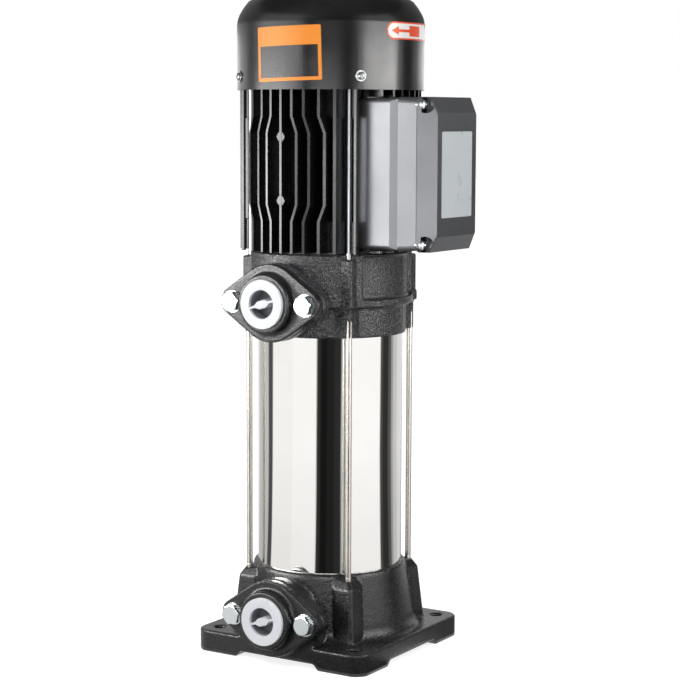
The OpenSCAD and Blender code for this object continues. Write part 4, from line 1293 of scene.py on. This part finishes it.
@dataclass
class FrameDress:
    """The motor frame with its corner lugs open towards the through bolts, and a bar beside each bolt.

    Lengths in this class are millimetres.
    """

    bolt_at: float = 51.0
    channel: float = 48.6
    lug_wall: float = 54.6
    lug_from: float = 35.4
    bar: Point2 = (44.6, 47.4)
    pad_edge: float = 39.2
    beyond: float = 75.0
    guard_x: Point2 = (57.0, 60.0)
    guard_y: Point2 = (50.8, 53.8)
    guard_gap: float = 0.2
    web_x: Point2 = (53.8, 59.6)
    web_y: Point2 = (48.5, 51.3)
    overcut: float = 0.1
    lug_h: float = 27.1
    lug_lift: float = 1.4

    def build(self) -> None:
        """Makes the frame in the place of the CAD one."""
        low, high = (corner.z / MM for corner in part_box("motor_frame"))
        foot = low + self.lug_lift
        lugs = [(foot, foot + self.lug_h), (high - self.lug_h, high + self.overcut)]
        cutter, guards = bmesh.new(), bmesh.new()
        for sx, sy in ((-1, -1), (-1, 1), (1, -1), (1, 1)):
            for span in lugs:
                for xs, ys in self.openings(sx == sy):
                    self.corner_block(cutter, sx, sy, xs, ys, span)
                self.corner_block(guards, sx, sy, self.web_x, self.web_y, span)
            self.corner_block(guards, sx, sy, self.guard_x, self.guard_y, (low + self.guard_gap, high))
        made = new_piece("frame_casting", cut_out(mesh_of("motor_frame"), cutter), Slot.PAINTED_ALUMINIUM)
        break_edges(made)
        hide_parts("motor_frame")
        break_edges(new_piece("bolt_guards", guards, Slot.PAINTED_ALUMINIUM), 0.5 * MM)
        LOG.info("motor frame: %d faces", len(made.data.polygons))

    def openings(self, bar_on_x_side: bool) -> list[tuple[Point2, Point2]]:
        """Plans what comes out of a corner's lugs.

        Args:
            bar_on_x_side: whether the corner bar crosses the opening towards the x side.

        Returns:
            The x and y spans of each cut, clear of the corner bar.
        """
        before, after = self.bar
        sideways = [(self.pad_edge, self.bolt_at + self.overcut)]
        forward = [(self.lug_from, self.channel + self.overcut)]
        if bar_on_x_side:
            sideways = [(self.pad_edge, before), (after, sideways[0][1])]
        else:
            forward = [(self.lug_from, before), (after, forward[0][1])]
        spans = [((self.channel, self.beyond), (self.bolt_at, self.beyond))]
        spans += [((self.lug_wall, self.beyond), ys) for ys in sideways]
        return spans + [(xs, (self.lug_wall, self.beyond)) for xs in forward]

    def corner_block(self, bm: Mesh, sx: int, sy: int, xs: Point2, ys: Point2, zs: Point2) -> None:
        """Adds a box, given by its spans, to bm in the corner that sx and sy name."""
        add_block(bm, (sx * xs[0], sy * ys[0], zs[0]), (sx * xs[1], sy * ys[1], zs[1]))


@dataclass
class BoxDress:
    """The terminal box with its slanted rim, its chamfered lid with screws, and the bare rating plate.

    Lengths in this class are millimetres.
    """

    plate_y: Point2 = (-26.9, 26.5)
    plate_z: Point2 = (394.5, 468.0)
    plate_skin: float = 0.25
    plate_corner: float = 1.6
    rim_from: float = 84.2
    rim_drop: float = 1.5
    skirt_to: float = 113.0
    skirt_draft: float = 1.4
    slope_from: float = 122.0
    face_inset: Point2 = (8.0, 13.2)
    groove_w: float = 1.2
    groove_deep: float = 3.0
    screw_y: float = 39.2
    pocket_r: Point2 = (3.6, 7.4)
    pocket_x: float = 116.4
    pocket_past: float = 15.0
    pocket_margin: float = 1.02
    screw_turn: float = 12.0
    screw_step: float = 37.0
    edge: float = 0.45
    waste: float = 6.0

    def build(self) -> None:
        """Makes the box, its lid and every piece on them."""
        body = new_piece("box_body", self.body(), Slot.PAINTED_BOX)
        lid = new_piece("box_lid", self.lid(), Slot.PAINTED_BOX)
        for made, node in ((body, "terminal_box"), (lid, "terminal_lid")):
            break_edges(made, self.edge * MM)
            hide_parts(node)
        self.paint_pocket_shade(lid)
        self.screws()
        self.plate()

    def body(self) -> Mesh:
        """Makes the box with its rim slanting in towards the lid.

        Returns:
            Its mesh.
        """
        low, high = (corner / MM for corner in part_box("terminal_box"))
        rim, end, waste = self.rim_from, high.x + 1.0, self.waste
        fall = self.rim_drop * (end - rim) / (high.x - rim)
        section = [(rim, -waste), (rim, 0.0), (end, fall), (end, -waste)]
        cutter = bmesh.new()
        sides = [(1, 2, -high.y, -1), (1, 2, high.y, 1), (2, 1, low.z, -1), (2, 1, high.z, 1)]
        for axis, other, edge, out in sides:
            corners = []
            for along in (low[other] - waste, high[other] + waste):
                for x, depth in section:
                    spot = Vector((x, 0, 0))
                    spot[axis], spot[other] = edge - out * depth, along
                    corners.append(cutter.verts.new(spot * MM))
            bmesh.ops.convex_hull(cutter, input=corners)
        return cut_out(mesh_of("terminal_box"), cutter)

    def lid(self) -> Mesh:
        """Makes the lid: a drafted skirt, a groove, chamfers to the face and four screw pockets.

        Returns:
            Its mesh.
        """
        low, high = (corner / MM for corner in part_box("terminal_lid"))
        width, height = high.y - low.y, high.z - low.z
        middle = (low.z + high.z) / 2
        skirt, inset = self.skirt_to, self.face_inset
        slope = inset[0] * (self.slope_from - skirt) / (high.x - skirt)
        draft, groove, groove_w = self.skirt_draft, self.groove_deep, self.groove_w
        # Each row: how far out it lies, how far it is set in across and upwards, and its corner radius
        layers = [
            [(low.x, 0.0, 0.0, 5.0), (skirt - groove_w, draft, draft, 4.5)],
            [(skirt - 2 * groove_w, groove, groove, 3.0), (skirt + groove_w, groove, groove, 3.0)],
            [(skirt, 0.0, 0.0, 5.0), (self.slope_from, slope, 0.0, 3.0), (high.x, *inset, 2.0)],
        ]
        bm = bmesh.new()
        for rows in layers:
            corners = [bm.verts.new(Vector((x, y, middle + z)) * MM) for x, inset_y, inset_z, radius in rows
                       for y, z in rounded_box(width - 2 * inset_y, height - 2 * inset_z, radius)]
            bmesh.ops.convex_hull(bm, input=corners)
        pockets = bmesh.new()
        past = self.pocket_past * MM
        size = Matrix.Diagonal((self.pocket_r[0] * MM, self.pocket_r[1] * MM, 2 * past, 1.0))
        for spot in self.screw_spots():
            place = facing(spot + Vector((past, 0, 0)), Vector((1, 0, 0)))
            bmesh.ops.create_cone(pockets, cap_ends=True, segments=40, radius1=1.0, radius2=1.0, depth=1.0,
                                  matrix=place @ size)
        return cut_out(bm, pockets)

    def paint_pocket_shade(self, lid: bpy.types.Object) -> None:
        """Paints shade into the screw pockets: their walls and floors take the castings' black paint as
        painted shade.

        Args:
            lid: the lid's object.
        """
        # Painted shade: the pocket faces get the black paint, for the shade inside them
        lid.data.materials.append(FINISHES[Slot.PAINTED_ALUMINIUM].material())
        across, upward = (r * MM * self.pocket_margin for r in self.pocket_r)
        spots = self.screw_spots()
        for face in lid.data.polygons:
            for spot in spots:
                off = face.center - spot
                if off.x > -0.05 * MM and (off.y / across) ** 2 + (off.z / upward) ** 2 < 1.0:
                    face.material_index = 1

    def screw_spots(self) -> list[Vector]:
        """Returns the seat of each lid screw, in metres, at the corners that the CAD screws have."""
        middles = [solid.middle() for solid in solids_of("lid_screws")]
        return [Vector((self.pocket_x * MM, math.copysign(self.screw_y * MM, m.y), m.z)) for m in middles]

    def screws(self) -> None:
        """Makes the lid's cross-head screws in the place of the CAD ones."""
        screw = CrossScrew(head_r=4.3 * MM, head_h=3.4 * MM, slot_len=4.4 * MM, slot_w=1.1 * MM,
                           shank_r=2.0 * MM, shank_len=12.0 * MM)
        out = Vector((1, 0, 0))
        places = [facing(spot, out, self.screw_turn + self.screw_step * i)
                  for i, spot in enumerate(self.screw_spots())]
        made = new_piece("lid_screw_heads", copies(screw.mesh(), places), Slot.ZINC)
        smooth(made, 40.0)
        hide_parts("lid_screws")
        LOG.info("terminal box: %d screws", len(places))

    def plate(self) -> None:
        """Makes the bare plate on the face of the lid."""
        (left, right), (foot, top) = self.plate_y, self.plate_z
        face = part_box("terminal_lid")[1].x
        middle = Vector((face, (left + right) / 2 * MM, (foot + top) / 2 * MM))
        outline = rounded_box((top - foot) * MM, (right - left) * MM, self.plate_corner * MM)
        bm = Sheet(thickness=self.plate_skin * MM).flat(outline)
        bmesh.ops.transform(bm, matrix=facing(middle, Vector((1, 0, 0)), 90.0), verts=bm.verts)
        new_piece("rating_plate_bare", bm, Slot.PAINTED_BOX, PLATE_SILVER)


@dataclass
class CapDress:
    """What shows in the recess of a port's protection cap: a thin grey cup of painted shade for the recess's
    darkness and the dark bore behind its thin floor, and the grip's broad middle.
    """

    recess_r: float = 12.6 * MM
    recess_deep: float = 15.8 * MM
    shaded_from: float = 3.2 * MM
    skin: float = 0.25 * MM
    fit: float = 0.05 * MM
    grip_turn: float = 17.0
    grip_deep: float = 0.7 * MM
    grip_half: tuple[Point2, ...] = ((-7.2 * MM, -0.9 * MM), (-3.4 * MM, -3.5 * MM),
                                     (3.4 * MM, -3.5 * MM), (7.2 * MM, -0.9 * MM))

    def build(self) -> None:
        """Makes the pieces of both caps."""
        for body in (Body.SUCTION_CAP, Body.DISCHARGE_CAP):
            cap = body.value
            low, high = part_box(cap)
            place = facing(Vector(((low.x + high.x) / 2, low.y, (low.z + high.z) / 2)), Vector((0, -1, 0)))
            # The recess piece is painted shade; the grip is the cap's own plastic
            for name, bm, finish in (("recess", self.shade_cup(), CAP_PAINTED_SHADE), ("grip", self.grip(), None)):
                bmesh.ops.transform(bm, matrix=place, verts=bm.verts)
                smooth(new_piece(f"{cap}_{name}", bm, Slot.WHITE_PLASTIC, finish, body), 40.0)
            LOG.info("%s: recess and grip", cap)

    def shade_cup(self) -> Mesh:
        """Makes the thin cup of painted shade that lies against the wall and floor of the recess.

        Returns:
            Its mesh, with the mouth towards +Z.
        """
        outer, floor = self.recess_r - self.fit, self.fit - self.recess_deep
        inner, top = outer - self.skin, -self.shaded_from
        return turned([(0.0, floor), (outer, floor), (outer, top), (inner, top - self.skin),
                       (inner, floor + self.skin), (0.0, floor + self.skin)], 64)

    def grip(self) -> Mesh:
        """Makes the six-sided middle of the grip, which stands on the floor of the recess.

        Returns:
            Its mesh, with the top towards +Z.
        """
        outline = [*self.grip_half, *((x, -y) for x, y in reversed(self.grip_half))]
        depth = self.recess_deep - self.grip_deep - self.skin
        bm = Sheet(thickness=depth).flat(outline, self.skin - self.recess_deep)
        bmesh.ops.rotate(bm, verts=bm.verts, matrix=Matrix.Rotation(math.radians(self.grip_turn), 3, "Z"))
        return bm


@dataclass
class RodDress:
    """The rolled threads that show where the tie rods enter the towers of the base."""

    pitch: float = 1.0 * MM
    shown: float = 3.0 * MM
    crest: float = 0.16 * MM
    root: float = 0.02 * MM
    flank: float = 0.46
    above_sleeve: float = 2.3 * MM
    steps: int = 20

    def build(self) -> None:
        """Makes a short thread at the lower end of every rod."""
        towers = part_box("outer_sleeve")[0].z + self.above_sleeve
        bm = bmesh.new()
        for rod in solids_of("tie_rods"):
            middle = rod.middle()
            self.thread(bm, Vector((middle.x, middle.y, towers)), (rod.high.x - rod.low.x) / 2)
        made = new_piece("rod_threads", bm, Slot.STAINLESS)
        smooth(made, 50.0)
        LOG.info("tie rods: %d faces of thread", len(made.data.polygons))

    def thread(self, bm: Mesh, foot: Vector, radius: float) -> None:
        """Adds one helical ridge to a mesh.

        Args:
            bm: the mesh that takes it.
            foot: the rod's axis at the lower end of the thread.
            radius: the rod's radius.
        """
        count = int(self.shown / self.pitch * self.steps)
        rows = []
        for i in range(count + 1):
            angle = 2 * math.pi * i / self.steps
            fade = max(0.02, min(1.0, i / self.steps, (count - i) / self.steps + 0.02))
            row = []
            for crest, up in ((0.0, -self.flank), (self.crest + self.root, 0.0), (0.0, self.flank)):
                reach = radius - self.root + crest * fade
                height = self.pitch * (i / self.steps + up)
                place = Vector((reach * math.cos(angle), reach * math.sin(angle), height))
                row.append(bm.verts.new(foot + place))
            rows.append(row)
        for lower, upper in zip(rows, rows[1:]):
            for i, j in ((0, 1), (1, 2), (2, 0)):
                bm.faces.new((lower[i], lower[j], upper[j], upper[i]))
        bm.faces.new(rows[0])
        bm.faces.new(list(reversed(rows[-1])))


def main() -> None:
    """Builds the studio and dresses the pump."""
    logging.basicConfig(level=logging.INFO, format="%(name)s: %(message)s")
    Studio().build()
    Solids().dress()
    for dress in (HeadDress(), FrameDress(), FanCoverDress(), BoxDress(), CapDress(), RodDress()):
        dress.build()
        LOG.info("built %s", type(dress).__name__)


if __name__ == "__main__":
    main()
